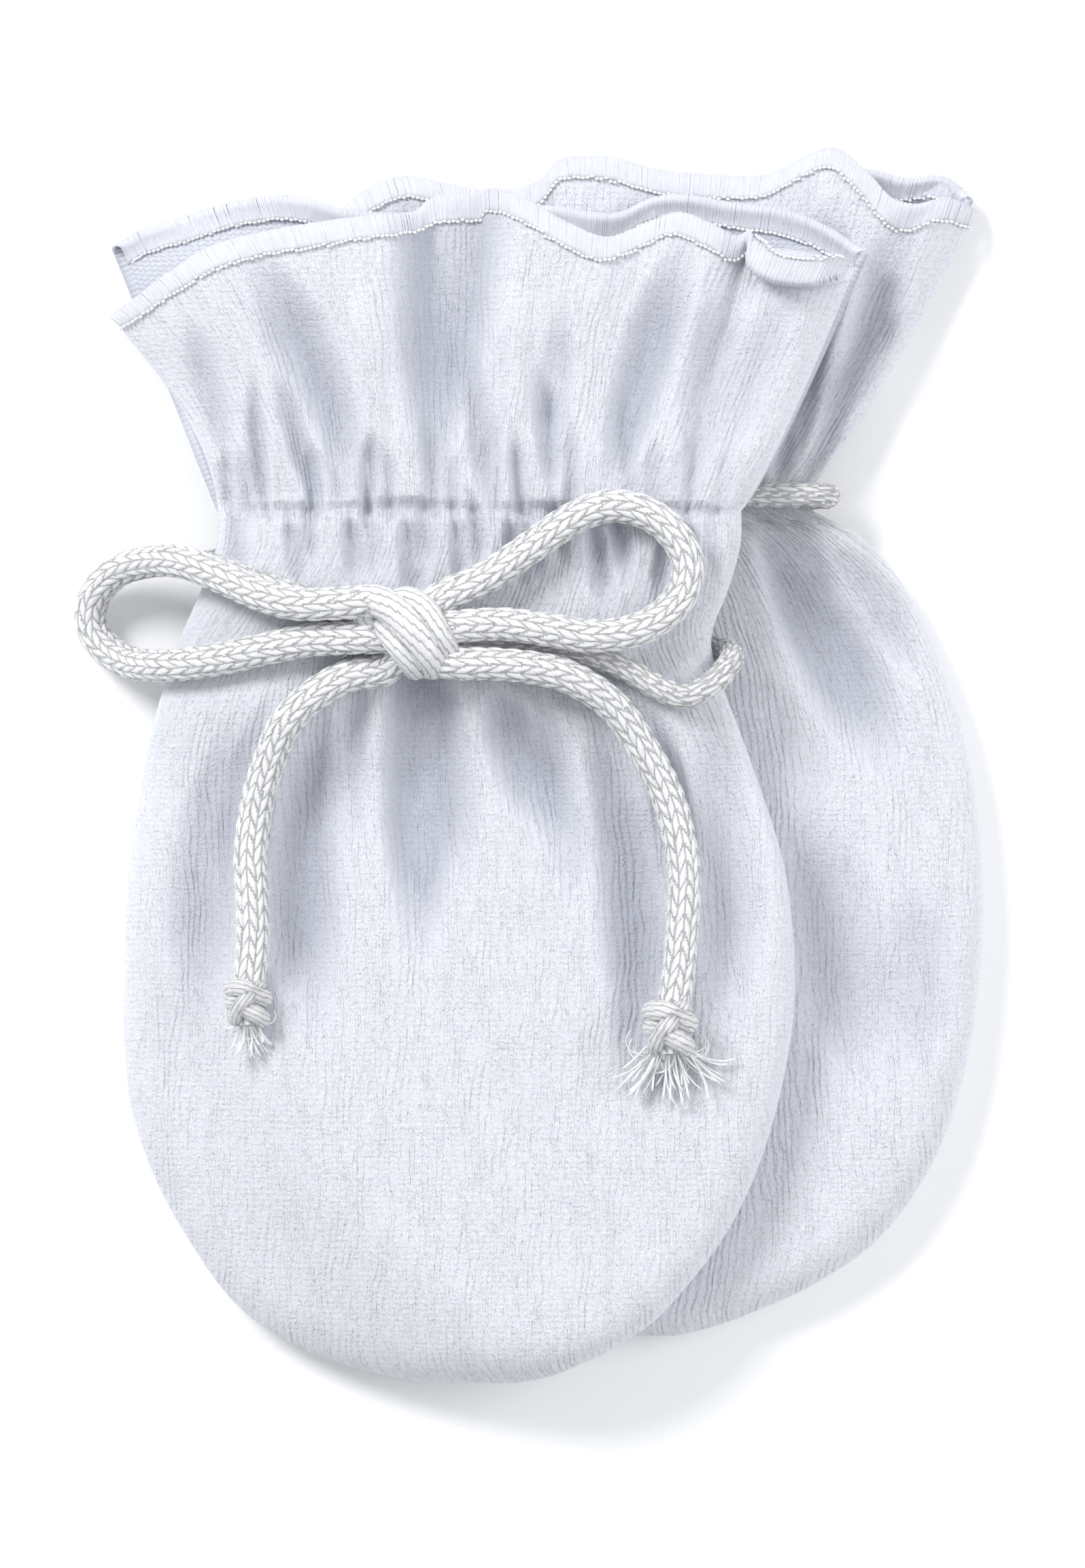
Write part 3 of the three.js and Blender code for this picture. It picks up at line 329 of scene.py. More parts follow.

# Puckers above and under the gather line, at the places listed. puckers() varies them.
NEAR_PUCKERS = (
    (-34.6, 34.0, -34.2, 31.0, -33.9, 27.6, 0.8, 0.8, 0.9),
    (-33.4, 33.0, -32.5, 30.4, -31.9, 27.6, 0.8, 0.9, 1.1),
    (-31.6, 38.0, -30.4, 33.0, -29.8, 27.4, 1.0, 0.8, 1.2),
    (-25.4, 33.6, -25.0, 30.6, -24.6, 27.6, 0.8, 0.9, 1.3),
    (-23.6, 36.4, -22.6, 32.0, -22.0, 27.5, 0.9, 0.8, 1.0),
    (-18.6, 35.6, -19.2, 31.6, -19.4, 27.6, 0.9, 0.9, 1.4),
    (-17.4, 33.0, -17.0, 30.6, -16.8, 27.6, 0.7, 0.8, 1.1),
    (-12.8, 36.0, -12.2, 32.0, -11.9, 27.6, 0.9, 0.9, 1.4),
    (-10.6, 33.2, -10.0, 30.4, -9.8, 27.6, 0.8, 0.8, 1.2),
    (-5.6, 37.0, -5.2, 32.0, -5.0, 27.6, 0.9, 0.9, 1.3),
    (-3.4, 33.4, -2.8, 30.6, -2.6, 27.6, 0.8, 0.8, 1.2),
    (2.4, 34.4, 2.8, 31.0, 3.0, 27.6, 0.9, 0.9, 1.3),
    (8.6, 36.6, 9.2, 32.0, 9.4, 27.6, 0.9, 0.8, 1.1),
    (12.0, 33.0, 12.2, 30.2, 12.4, 27.5, 0.8, 0.8, 0.9),
    (17.6, 34.0, 16.4, 31.0, 15.7, 27.4, 0.8, 0.8, 0.8),
    (20.2, 32.4, 19.2, 30.0, 18.7, 27.4, 0.7, 0.7, 0.7),
    (-33.2, 27.6, -33.0, 24.6, -33.6, 20.0, 0.9, 1.2, 1.1),
    (-25.6, 27.4, -25.2, 24.8, -25.0, 22.0, 0.8, 0.9, 1.0),
    (-19.6, 27.4, -19.2, 24.0, -18.6, 20.4, 0.8, 1.0, 1.1),
    (-13.4, 27.4, -13.2, 24.8, -12.6, 21.6, 0.8, 0.9, 1.1),
    (-8.0, 27.3, -7.4, 24.6, -6.8, 22.4, 0.8, 0.9, 1.1),
    (-2.0, 27.3, -1.4, 24.4, -0.6, 21.0, 0.8, 1.1, 1.2),
    (1.2, 27.2, 1.8, 25.0, 2.4, 22.6, 0.8, 0.9, 1.0),
    (7.6, 26.9, 8.2, 24.0, 9.0, 20.0, 0.9, 1.1, 1.2),
    (15.4, 26.8, 15.6, 24.0, 15.4, 20.4, 0.8, 1.0, 0.9),
    (18.8, 26.8, 18.6, 24.4, 18.2, 21.0, 0.8, 0.9, 0.8),
)
# Softer creases over the ruffle and down the pouch
NEAR_CREASES = table(
    FOLD_COLUMNS,
    (-38.8, 49.0, -36.0, 41.0, -33.4, 31.0, 2.2, 1.4, 1.1),
    (-19.4, 54.0, -19.0, 44.0, -17.8, 32.0, 2.0, 1.3, -0.8),
    (-3.0, 54.0, -3.4, 44.0, -3.0, 33.0, 2.2, 1.4, -0.8),
    (1.8, 50.0, 1.8, 42.0, 1.2, 33.0, 1.8, 1.3, 1.0),
    (27.0, 52.0, 23.0, 42.0, 19.4, 31.0, 2.6, 1.6, 0.9),
    (-19.8, 11.6, -21.8, 2.0, -21.0, -12.0, 1.6, 2.2, 1.1),
    (-10.8, 10.0, -10.0, 0.0, -8.4, -16.0, 1.5, 2.4, 1.3),
    (-1.0, 9.0, 2.4, -2.0, 3.8, -18.0, 1.6, 2.4, 1.2),
    (10.6, 9.0, 14.6, -3.0, 15.2, -18.0, 1.6, 2.4, 1.0),
    (-29.4, 8.0, -33.6, -4.0, -33.4, -18.0, 1.8, 2.6, 1.0),
)
FAR_CREASES = table(
    FOLD_COLUMNS,
    (33.6, 40.0, 30.4, 35.0, 28.0, 30.6, 1.2, 0.9, 1.2),
    (27.0, 38.0, 26.0, 34.0, 25.4, 30.6, 1.0, 0.8, 1.1),
    (26.6, 28.0, 29.0, 24.0, 32.4, 17.0, 1.2, 1.8, 1.2),
    (24.0, 27.6, 27.4, 19.0, 33.0, 6.0, 1.6, 2.6, 1.4),
    (34.4, 58.0, 33.0, 49.0, 30.0, 38.0, 2.2, 1.4, -0.8),
    (18.0, 40.0, 17.4, 35.0, 17.0, 30.2, 1.3, 1.0, 1.2),
    (9.0, 38.0, 9.4, 34.0, 9.6, 30.2, 1.3, 1.0, 1.1),
    (0.0, 40.0, 1.0, 35.0, 1.6, 30.2, 1.4, 1.0, 1.2),
    (-9.6, 38.0, -8.0, 34.0, -7.2, 30.2, 1.3, 1.0, 1.1),
    (-17.6, 36.0, -16.2, 33.0, -15.4, 30.2, 1.2, 1.0, 1.0),
)
# Creases of the back panels, given for the near mitten. The far one's are the same, moved with it.
BACK_CREASES = table(
    FOLD_COLUMNS,
    (-30.0, 36.0, -28.6, 32.0, -27.6, 27.8, 1.2, 1.0, 1.2),
    (-21.0, 38.0, -20.0, 33.0, -19.6, 27.8, 1.4, 1.0, 1.3),
    (-11.0, 35.0, -11.4, 31.0, -11.6, 27.6, 1.2, 1.0, 1.2),
    (-3.0, 38.0, -3.4, 33.0, -4.0, 27.6, 1.4, 1.0, 1.3),
    (5.6, 36.0, 4.4, 32.0, 3.4, 27.6, 1.2, 1.0, 1.1),
    (13.6, 37.0, 12.0, 32.0, 11.0, 27.6, 1.3, 1.0, 1.1),
    (-25.0, 27.0, -26.0, 18.0, -28.4, 4.0, 1.4, 2.8, 1.2),
    (-16.0, 27.0, -16.6, 16.0, -18.4, -4.0, 1.4, 3.0, 1.3),
    (-7.6, 27.0, -7.4, 15.0, -7.0, -8.0, 1.4, 3.2, 1.3),
    (0.8, 27.0, 1.8, 17.0, 4.0, 0.0, 1.4, 2.8, 1.1),
    (9.0, 27.0, 11.0, 18.0, 14.6, 6.0, 1.3, 2.6, 1.1),
)
FAR_SHIFT = (20.6, 4.9)

# The wrists, where the panels rise over the stretch of cord under them
NEAR_WRIST = {"from": 8.0, "to": 33.0, "ramp": 11.0, "lift": 3.3, "top": 9.2}
FAR_WRIST = {"from": 26.0, "to": 33.6, "ramp": 11.0, "lift": 3.5, "top": 7.3}

# The cords' routes, from a knot outwards, as x, y and z
NEAR_RING = (
    (-13.6, 14.8, 19.6), (-17.6, 16.4, 18.8), (-22.4, 17.6, 18.8), (-27.1, 18.6, 17.8),
    (-32.0, 20.4, 14.9), (-35.8, 21.8, 11.4), (-37.6, 22.2, 8.8), (-37.0, 22.4, 5.6),
    (-34.6, 22.8, 4.2), (-30.0, 22.7, 6.4), (-25.0, 21.5, 8.8), (-18.0, 20.1, 9.2),
    (-8.0, 18.2, 9.2), (4.0, 15.9, 9.2), (15.0, 13.5, 9.2), (18.9, 12.8, 10.0),
    (20.5, 12.2, 13.2), (20.2, 11.0, 16.4), (18.0, 8.7, 18.5), (15.2, 7.5, 18.8),
    (12.2, 8.6, 18.8), (8.8, 10.6, 18.8), (5.0, 12.0, 18.8), (0.0, 12.7, 18.8),
    (-5.6, 13.0, 18.8), (-9.8, 13.3, 18.8), (-12.6, 13.6, 19.2),
)
NEAR_LOOP_LEFT = (
    (-14.4, 15.8, 20.8), (-17.8, 17.6, 22.2), (-22.4, 17.5, 22.5), (-26.6, 17.5, 21.4),
    (-30.6, 18.5, 19.0), (-35.0, 20.5, 15.7), (-39.4, 22.2, 11.9), (-43.4, 22.4, 7.6),
    (-47.1, 21.3, 4.8), (-49.6, 18.6, 2.9), (-49.9, 15.3, 2.3), (-48.0, 12.7, 3.2),
    (-45.2, 11.3, 5.8), (-42.4, 11.0, 9.7), (-39.4, 11.1, 12.5), (-35.0, 11.7, 15.1),
    (-29.7, 12.8, 18.0), (-25.4, 13.6, 19.4), (-21.6, 13.8, 20.7), (-17.6, 13.9, 21.0),
    (-14.4, 14.0, 20.4),
)
NEAR_LOOP_RIGHT = (
    (-13.6, 15.4, 20.2), (-11.4, 17.9, 20.6), (-6.4, 20.3, 20.0), (-1.2, 23.8, 19.3),
    (2.9, 26.6, 19.0), (6.6, 28.1, 19.0), (10.4, 27.7, 19.0), (13.7, 25.6, 19.0),
    (15.6, 22.3, 19.0), (15.1, 18.9, 19.1), (12.7, 16.1, 19.8), (9.3, 14.5, 21.2),
    (5.0, 14.0, 22.1), (0.9, 14.6, 22.2), (-4.4, 15.3, 22.0), (-9.4, 15.0, 22.0),
    (-13.6, 14.4, 20.4),
)
NEAR_TAIL_LEFT = (
    (-14.6, 12.6, 19.8), (-17.2, 10.5, 19.2), (-21.2, 9.7, 19.1), (-25.0, 7.6, 19.1),
    (-27.9, 4.7, 18.5), (-29.8, 0.6, 17.0), (-31.1, -3.8, 16.1), (-31.9, -9.6, 15.9),
    (-31.7, -14.5, 16.1), (-31.6, -19.0, 16.0), (-32.1, -24.0, 15.8),
)
NEAR_TAIL_RIGHT = (
    (-13.6, 12.6, 20.2), (-10.4, 11.2, 21.9), (-5.6, 11.0, 21.9), (-0.7, 10.5, 21.6),
    (2.9, 9.5, 21.0), (7.6, 6.4, 19.3), (10.9, 1.6, 18.0), (13.3, -2.9, 17.2),
    (14.7, -7.7, 17.1), (15.3, -12.2, 17.1), (15.1, -17.0, 17.1), (14.8, -21.6, 17.1),
    (14.0, -26.8, 17.4),
)
FAR_RING = (
    (3.0, 28.6, 8.9), (10.0, 29.1, 8.9), (18.0, 29.5, 8.9), (24.0, 29.7, 9.0),
    (28.0, 29.7, 8.9), (30.6, 29.7, 7.7), (31.4, 29.7, 5.3), (30.6, 29.7, 2.9),
    (27.4, 29.7, 1.9), (18.0, 29.5, 1.8), (5.0, 29.2, 1.8), (-10.0, 29.0, 1.8),
    (-17.6, 29.4, 1.9), (-21.2, 29.6, 2.8), (-22.3, 29.6, 5.2), (-21.6, 29.6, 7.6),
    (-18.6, 29.4, 8.9), (-9.0, 28.8, 8.9), (1.0, 28.5, 8.9),
)
# Turns of cord over a knot, each a diameter and a route
BOW_TURNS = (
    (4.6, ((-18.2, 14.9, 20.0), (-14.4, 14.6, 20.6), (-10.6, 13.9, 20.0))),
    (2.8, (
        (-17.6, 15.6, 20.0), (-17.0, 14.8, 22.0), (-15.6, 13.0, 23.0), (-14.2, 11.3, 22.3),
        (-13.8, 10.6, 20.2),
    )),
    (2.9, (
        (-16.6, 17.2, 19.6), (-14.8, 17.9, 21.4), (-12.9, 16.8, 23.1), (-11.5, 14.4, 23.5),
        (-10.6, 12.6, 22.3), (-10.8, 11.6, 20.0),
    )),
    (3.4, (
        (-17.4, 14.6, 20.4), (-19.1, 16.4, 21.0), (-18.6, 17.8, 22.2), (-16.4, 16.9, 23.4),
        (-14.0, 14.4, 24.0), (-12.4, 12.3, 23.2), (-11.9, 11.1, 21.3), (-12.8, 11.2, 19.2),
    )),
)
FAR_KNOT_TURNS = (
    (2.8, ((-1.2, 28.5, 8.9), (2.0, 28.5, 9.2), (5.2, 28.5, 8.9))),
    (2.2, ((0.6, 30.8, 8.0), (1.0, 30.0, 10.0), (2.2, 28.4, 10.6), (3.2, 26.8, 9.9), (3.4, 26.0, 8.0))),
)
# Turns of an end knot, measured from its middle
END_TURNS = (
    (2.7, ((0.0, 2.4, 0.0), (0.0, 0.0, 0.0), (0.1, -2.5, 0.0))),
    (2.0, (
        (-1.5, 1.3, -0.6), (-1.6, 1.5, 0.5), (-0.6, 1.5, 1.5), (0.8, 0.9, 1.5), (1.7, 0.4, 0.3),
        (1.3, 0.4, -0.9),
    )),
    (1.9, (
        (-1.4, -0.2, -0.7), (-1.6, -0.1, 0.4), (-0.5, -0.5, 1.6), (0.9, -1.3, 1.4), (1.5, -1.8, 0.2),
        (1.1, -1.8, -0.9),
    )),
    (1.7, ((1.2, 1.9, -0.4), (1.1, 1.6, 1.0), (0.0, 0.4, 2.0), (-1.1, -1.1, 1.4), (-1.3, -1.9, 0.0))),
)
# End knots and their frayed filaments: each bundle leaves at its angle from straight down, in degrees
END_KNOTS = {
    "left": {
        "middle": (-32.2, -25.7, 15.9), "scale": 1.0, "bundles": (-14, 3, 16), "each": 11,
        "reach": 4.3, "floor": 14.1, "node": "near_end_knot_left",
    },
    "right": {
        "middle": (13.7, -28.4, 17.8), "scale": 1.15, "bundles": (-36, -17, 2, 20, 40), "each": 14,
        "reach": 6.3, "floor": 15.7, "node": "near_end_knot_right",
    },
}


# Camera
def make_camera():
    data = bpy.data.cameras.new("camera")
    data.lens = LENS
    data.sensor_width = SENSOR
    data.clip_start = 0.01
    camera = bpy.data.objects.new("camera", data)
    distance = PHOTO_HEIGHT_PX / PX_PER_MM * LENS / SENSOR
    camera.location = Vector((VIEW_X, VIEW_Y, VIEW_PLANE + distance)) * MM
    bpy.context.scene.collection.objects.link(camera)
    bpy.context.scene.camera = camera


# Meshes
def make_mesh(name, points, faces, materials, face_materials, **attributes):
    """A mesh object from an array of points in millimetres and a list of arrays of faces of one size each."""
    mesh = bpy.data.meshes.new(name)
    groups = [np.asarray(group, np.int32) for group in faces if len(group)]
    corners = np.concatenate([group.ravel() for group in groups])
    sizes = np.concatenate([np.full(len(group), group.shape[1], np.int32) for group in groups])
    starts = np.concatenate([[0], np.cumsum(sizes)[:-1]]).astype(np.int32)
    mesh.vertices.add(len(points))
    mesh.vertices.foreach_set("co", (np.asarray(points, np.float64) * MM).astype(np.float32).ravel())
    mesh.loops.add(len(corners))
    mesh.loops.foreach_set("vertex_index", corners)
    mesh.polygons.add(len(sizes))
    mesh.polygons.foreach_set("loop_start", starts)
    mesh.polygons.foreach_set("loop_total", sizes)
    mesh.polygons.foreach_set("use_smooth", np.full(len(sizes), True))
    mesh.polygons.foreach_set("material_index", np.asarray(face_materials, np.int32))
    mesh.update(calc_edges=True)
    mesh.validate()
    for key, values in attributes.items():
        attribute = mesh.attributes.new(key, "FLOAT_VECTOR", "POINT")
        attribute.data.foreach_set("vector", np.asarray(values, np.float32).ravel())
    for material in materials:
        mesh.materials.append(material)
    obj = bpy.data.objects.new(name, mesh)
    bpy.context.scene.collection.objects.link(obj)
    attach(obj, "root")
    return obj


# Curves
def mix(a, b, t):
    return a + (b - a) * t


def smooth_step(t):
    s = np.clip(t, 0, 1)
    return s * s * (3 - 2 * s)


def spline(rows, column, t):
    """A table's column as a smooth function of the row number."""
    values = rows[column]
    last = len(values) - 1
    place = np.clip(np.asarray(t, float), 0, last)
    start = np.minimum(place.astype(int), last - 1)
    f = place - start
    before, a, b, after = (values[np.clip(start + k, 0, last)] for k in (-1, 0, 1, 2))
    slope_a = (b - before) / 2
    slope_b = (after - a) / 2
    cubic = 2 * (a - b) + slope_a + slope_b
    square = 3 * (b - a) - 2 * slope_a - slope_b
    return ((cubic * f + square) * f + slope_a) * f + a


def route_curve(points, step):
    """A route as a smooth curve through its points, resampled at even steps."""
    p = np.array(points, float)
    p = np.vstack([2 * p[0] - p[1], p, 2 * p[-1] - p[-2]])
    fine = []
    for i in range(1, len(p) - 2):
        p0, p1, p2, p3 = p[i - 1 : i + 3]
        d0, d1, d2 = (max(np.linalg.norm(b - a), 1e-6) ** 0.5 for a, b in ((p0, p1), (p1, p2), (p2, p3)))
        m1 = ((p1 - p0) / d0 - (p2 - p0) / (d0 + d1) + (p2 - p1) / d1) * d1
        m2 = ((p2 - p1) / d1 - (p3 - p1) / (d1 + d2) + (p3 - p2) / d2) * d1
        f = np.linspace(0, 1, 24, endpoint=False)[:, None]
        fine.append(
            (2 * f**3 - 3 * f**2 + 1) * p1 + (f**3 - 2 * f**2 + f) * m1
            + (3 * f**2 - 2 * f**3) * p2 + (f**3 - f**2) * m2
        )
    fine = np.vstack(fine + [p[-2:-1]])
    along = np.concatenate([[0], np.cumsum(np.linalg.norm(np.diff(fine, axis=0), axis=1))])
    count = max(int(round(along[-1] / step)), 2)
    places = np.linspace(0, along[-1], count + 1)
    return np.stack([np.interp(places, along, fine[:, k]) for k in range(3)], axis=1), places


def curve_frames(centre):
    """Tangents and two crosswise directions that don't twist, along a curve."""
    tangent = np.gradient(centre, axis=0)
    tangent /= np.linalg.norm(tangent, axis=1, keepdims=True)
    side = np.zeros_like(centre)
    first = np.cross(tangent[0], (0, 0, 1.0))
    side[0] = first / np.linalg.norm(first)
    for i in range(1, len(centre)):
        s = side[i - 1] - tangent[i] * (side[i - 1] @ tangent[i])
        side[i] = s / np.linalg.norm(s)
    return tangent, side, np.cross(tangent, side)


# Panels of cloth
def nearest_on_chain(chain, x, y):
    """Distance to a chain of points, and the outward direction at the nearest place."""
    best = np.full(x.shape, np.inf)
    nx = np.zeros(x.shape)
    ny = np.zeros(x.shape)
    for a, b in zip(chain[:-1], chain[1:]):
        d = b - a
        span = d @ d
        if span == 0:
            continue
        t = np.clip(((x - a[0]) * d[0] + (y - a[1]) * d[1]) / span, 0, 1)
        distance = np.hypot(x - a[0] - d[0] * t, y - a[1] - d[1] * t)
        closer = distance < best
        size = span**0.5
        best = np.where(closer, distance, best)
        nx = np.where(closer, d[1] / size, nx)
        ny = np.where(closer, -d[0] / size, ny)
    return best, nx, ny


def inside_outline(outline, x, y):
    inside = np.zeros(x.shape, bool)
    for a, b in zip(outline[:-1], outline[1:]):
        if a[1] == b[1]:
            continue
        crosses = ((a[1] > y) != (b[1] > y)) & (x < (b[0] - a[0]) * (y - a[1]) / (b[1] - a[1]) + a[0])
        inside ^= crosses
    return inside


def fold_depth(folds, x, y):
    """Depth of all folds at each point."""
    depth = np.zeros(x.shape)
    t = np.linspace(0, 1, 15)
    for row in zip(*folds.values()):
        fold = dict(zip(folds, row))
        px = mix(mix(fold["x0"], fold["x1"], t), mix(fold["x1"], fold["x2"], t), t)
        py = mix(mix(fold["y0"], fold["y1"], t), mix(fold["y1"], fold["y2"], t), t)
        best = np.full(x.shape, np.inf)
        best_t = np.zeros(x.shape)
        for i in range(len(t) - 1):
            dx, dy = px[i + 1] - px[i], py[i + 1] - py[i]
            f = np.clip(((x - px[i]) * dx + (y - py[i]) * dy) / (dx * dx + dy * dy), 0, 1)
            distance = np.hypot(x - px[i] - dx * f, y - py[i] - dy * f)
            closer = distance < best
            best = np.where(closer, distance, best)
            best_t = np.where(closer, mix(t[i], t[i + 1], f), best_t)
        ends = smooth_step(best_t / FOLD_FADE + FOLD_START)
        ends = ends * smooth_step((1 - best_t) / FOLD_FADE + FOLD_END)
        width = mix(fold["w0"], fold["w2"], best_t) * mix(FOLD_POINT, 1, ends)
        reach = np.minimum(best / (width * FOLD_REACH), 1)
        depth += FOLD_GAIN * fold["depth"] * (1 - reach**2) ** 2 * ends
    return depth


def moved(folds, shift):
    return {k: v + shift[0] * (k[0] == "x") + shift[1] * (k[0] == "y") for k, v in folds.items()}


def joined(*tables):
    return {k: np.concatenate([one[k] for one in tables]) for k in tables[0]}


def puckers(rows):
    """The puckers as folds, each varied a little so that no two are alike."""
    draw = Random(PUCKER_SEED)
    varied = []
    for x0, y0, x1, y1, x2, y2, w0, w2, depth in rows:
        x1 += draw.choice(PUCKER_BENDS)
        if y2 > PUCKER_LINE:
            y2 = PUCKER_END - draw.choice(PUCKER_DROPS)
            y0 += draw.choice(PUCKER_RISES)
            w0 *= PUCKER_WIDER[0]
        else:
            y2 -= PUCKER_LONGER
            y0 += draw.choice(PUCKER_LOW_RISES)
            w2 *= PUCKER_WIDER[1]
        for share in (PUCKER_HELD, draw.choice(PUCKER_DEEPER), PUCKER_EASED):
            depth = round(depth * share, 2)
        varied.append([round(value, 2) for value in (x0, y0, x1, y1, x2, y2, w0, w2, depth)])
    return table(FOLD_COLUMNS, *varied)


def wrist_share(wrist, y):
    from_tip = smooth_step((y - wrist["from"] + wrist["ramp"]) / wrist["ramp"])
    return from_tip * smooth_step((wrist["to"] + wrist["ramp"] - y) / wrist["ramp"])


class Panel:
    """One cloth panel of a mitten: its outline, its hem, and its surface."""

    def __init__(self, mitten, hem_rows, facing, flare_left, flare_right, front=None):
        self.mitten = mitten
        self.body = mitten["body"]
        self.facing = facing
        self.front = front or self
        self.flare = (flare_left, flare_right)
        self.round = EDGE_ROUND if facing > 0 else UNDER_ROUND
        hem_rows = {"over": np.full(len(hem_rows["x"]), HEM_OVER), **hem_rows}
        t = np.linspace(0, len(hem_rows["x"]) - 1, 24 * len(hem_rows["x"]))
        self.hem_points = {k: spline(hem_rows, k, t) for k in hem_rows}
        steps = np.hypot(np.diff(self.hem_points["x"]), np.diff(self.hem_points["y"]))
        self.hem_along = np.concatenate([[0], np.cumsum(steps)])
        self.hem_length = self.hem_along[-1]
        t = np.linspace(0, len(self.body["y"]) - 1, 60 * len(self.body["y"]))
        self.body_curve = {k: spline(self.body, k, t) for k in self.body}
        self.chain = self.side_chain()

    def hem(self, share):
        return [np.interp(np.clip(share, 0, 1) * self.hem_length, self.hem_along, self.hem_points[k])
                for k in ("x", "y", "lift")]

    def level(self, y):
        falling = -self.body_curve["y"]
        return [np.interp(-y, falling, self.body_curve[k]) for k in ("left", "right")]

    def ruffle(self, share, rise):
        """A point of the ruffle: share runs along the hem, rise from the gather line to the hem."""
        left, right, wrist = (self.body[k][0] for k in ("left", "right", "y"))
        x, y, lift = self.hem(share)
        flare = np.asarray(rise, float) ** mix(self.flare[0], self.flare[1], share)
        return mix(mix(left, right, share), x, flare), mix(wrist, y, rise), lift

    def near_hem(self, share):
        """The direction in which the cloth reaches its hem, and the ruffle's length measured that way."""
        near, hem = self.ruffle(share, 0.9), self.ruffle(share, 1.0)
        dx, dy = hem[0] - near[0], hem[1] - near[1]
        size = np.hypot(dx, dy)
        return dx / size, dy / size, size * 10

    def turn_hem(self, outer, direction, share, rise):
        """Turn the cloth up or down where it comes near its hem."""
        ax, ay, reach = self.near_hem(share)
        turn, over = (np.interp(np.clip(share, 0, 1) * self.hem_length, self.hem_along, self.hem_points[k])
                      for k in ("turn", "over"))
        past = np.where(rise > 0, np.maximum(over - (1 - rise) * reach, 0), 0)
        bend = np.radians(turn) / HEM_BEND
        bend = np.where(np.abs(bend) < 1e-3, 1e-3, bend)
        angle = bend * np.minimum(past, HEM_BEND)
        straight = np.maximum(past - HEM_BEND, 0)
        onward = np.sin(angle) / bend + straight * np.cos(angle) - past
        up = (1 - np.cos(angle)) / bend + straight * np.sin(angle)
        outer = outer + np.stack([ax * onward, ay * onward, up], axis=-1)
        forward = direction[..., 0] * ax + direction[..., 1] * ay
        turned = forward * np.cos(angle) - direction[..., 2] * np.sin(angle) - forward
        risen = forward * np.sin(angle) + direction[..., 2] * np.cos(angle) - direction[..., 2]
        return outer, direction + np.stack([ax * turned, ay * turned, risen], axis=-1)

    def side_chain(self):
        rise = np.linspace(1, 0, 25)[:-1]
        left = [np.stack(self.ruffle(0.0 * rise, rise)[:2], axis=1)]
        right = [np.stack(self.ruffle(0.0 * rise + 1, rise)[:2], axis=1)]
        t = np.linspace(0, len(self.body["y"]) - 1, 4 * len(self.body["y"]))
        for side, column in ((left, "left"), (right, "right")):
            side.append(np.stack([spline(self.body, column, t), spline(self.body, "y", t)], axis=1))
        return np.vstack([np.vstack(left), np.vstack(right)[::-1]])

    def surface(self, x, y, lift, rise, on_rim, share):
        """The cloth's outer and inner points over points of its plan, and how deep in a fold each is."""
        distance, nx, ny = nearest_on_chain(self.chain, x, y)
        inward = np.where(on_rim, 0, np.clip(distance / self.round, 0, 1))
        sideways = 1 - inward
        upward = np.sqrt(1 - sideways**2)
        wrist = self.mitten["wrist"]
        at_wrist = wrist_share(wrist, y)
        low = wrist["lift"] * at_wrist
        top = mix(BODY_HEIGHT, wrist["top"], at_wrist)
        seam = mix(SEAM_HEIGHT, (wrist["lift"] + wrist["top"]) / 2, at_wrist)
        hem_share = smooth_step(rise)
        flared = smooth_step((y - self.body["y"][0]) / FLARE_LENGTH)
        seam = mix(seam, HEM_SEAM, flared) + self.facing * (SEAM_GAP / 2 + HEM_OPEN * flared)
        _, _, front_lift = self.front.hem(share)
        front = np.maximum(mix(top, front_lift, hem_share), 0)
        room = np.maximum(front - (mix(low, HEM_ROOM, hem_share) + 2 * WALL + SEAM_GAP), 0.05)
        depth = room * np.tanh(fold_depth(self.mitten["folds"], x, y) / room)
        if self.facing > 0:
            level = front - depth
        else:
            crease = np.minimum(fold_depth(self.mitten["creases"], x, y), 0.8 * (room - depth))
            level = np.maximum(mix(low, lift, hem_share), 0) + crease * (1 - hem_share)
            depth = crease
        z = self.mitten["lies"](x, y) + mix(seam, level, upward)
        outer = np.stack([x, y, z], axis=-1)
        direction = np.stack([nx * sideways, ny * sideways, self.facing * upward], axis=-1)
        direction /= np.linalg.norm(direction, axis=-1, keepdims=True)
        outer, direction = self.turn_hem(outer, direction, share, rise)
        wall = (WALL * (1 - WALL_LOSS * hem_share))[..., None]
        return outer, outer - wall * direction, depth

    def ruffle_surface(self, share, rise):
        """The cloth's outer and inner points at places of the ruffle."""
        share, rise = np.broadcast_arrays(np.asarray(share, float), np.asarray(rise, float))
        x, y, lift = self.ruffle(share, rise)
        return self.surface(x, y, lift, rise, np.zeros(x.shape, bool), share)[:2]


def across_places(length, columns, rounded, roll_steps):
    roll = min(rounded, length * 0.3)
    rolled = roll * (1 - np.cos(np.arange(roll_steps) / roll_steps * np.pi / 2))
    flat = np.linspace(roll, length - roll, columns - 2 * roll_steps + 1)
    return np.concatenate([rolled, flat, (length - rolled)[::-1]])


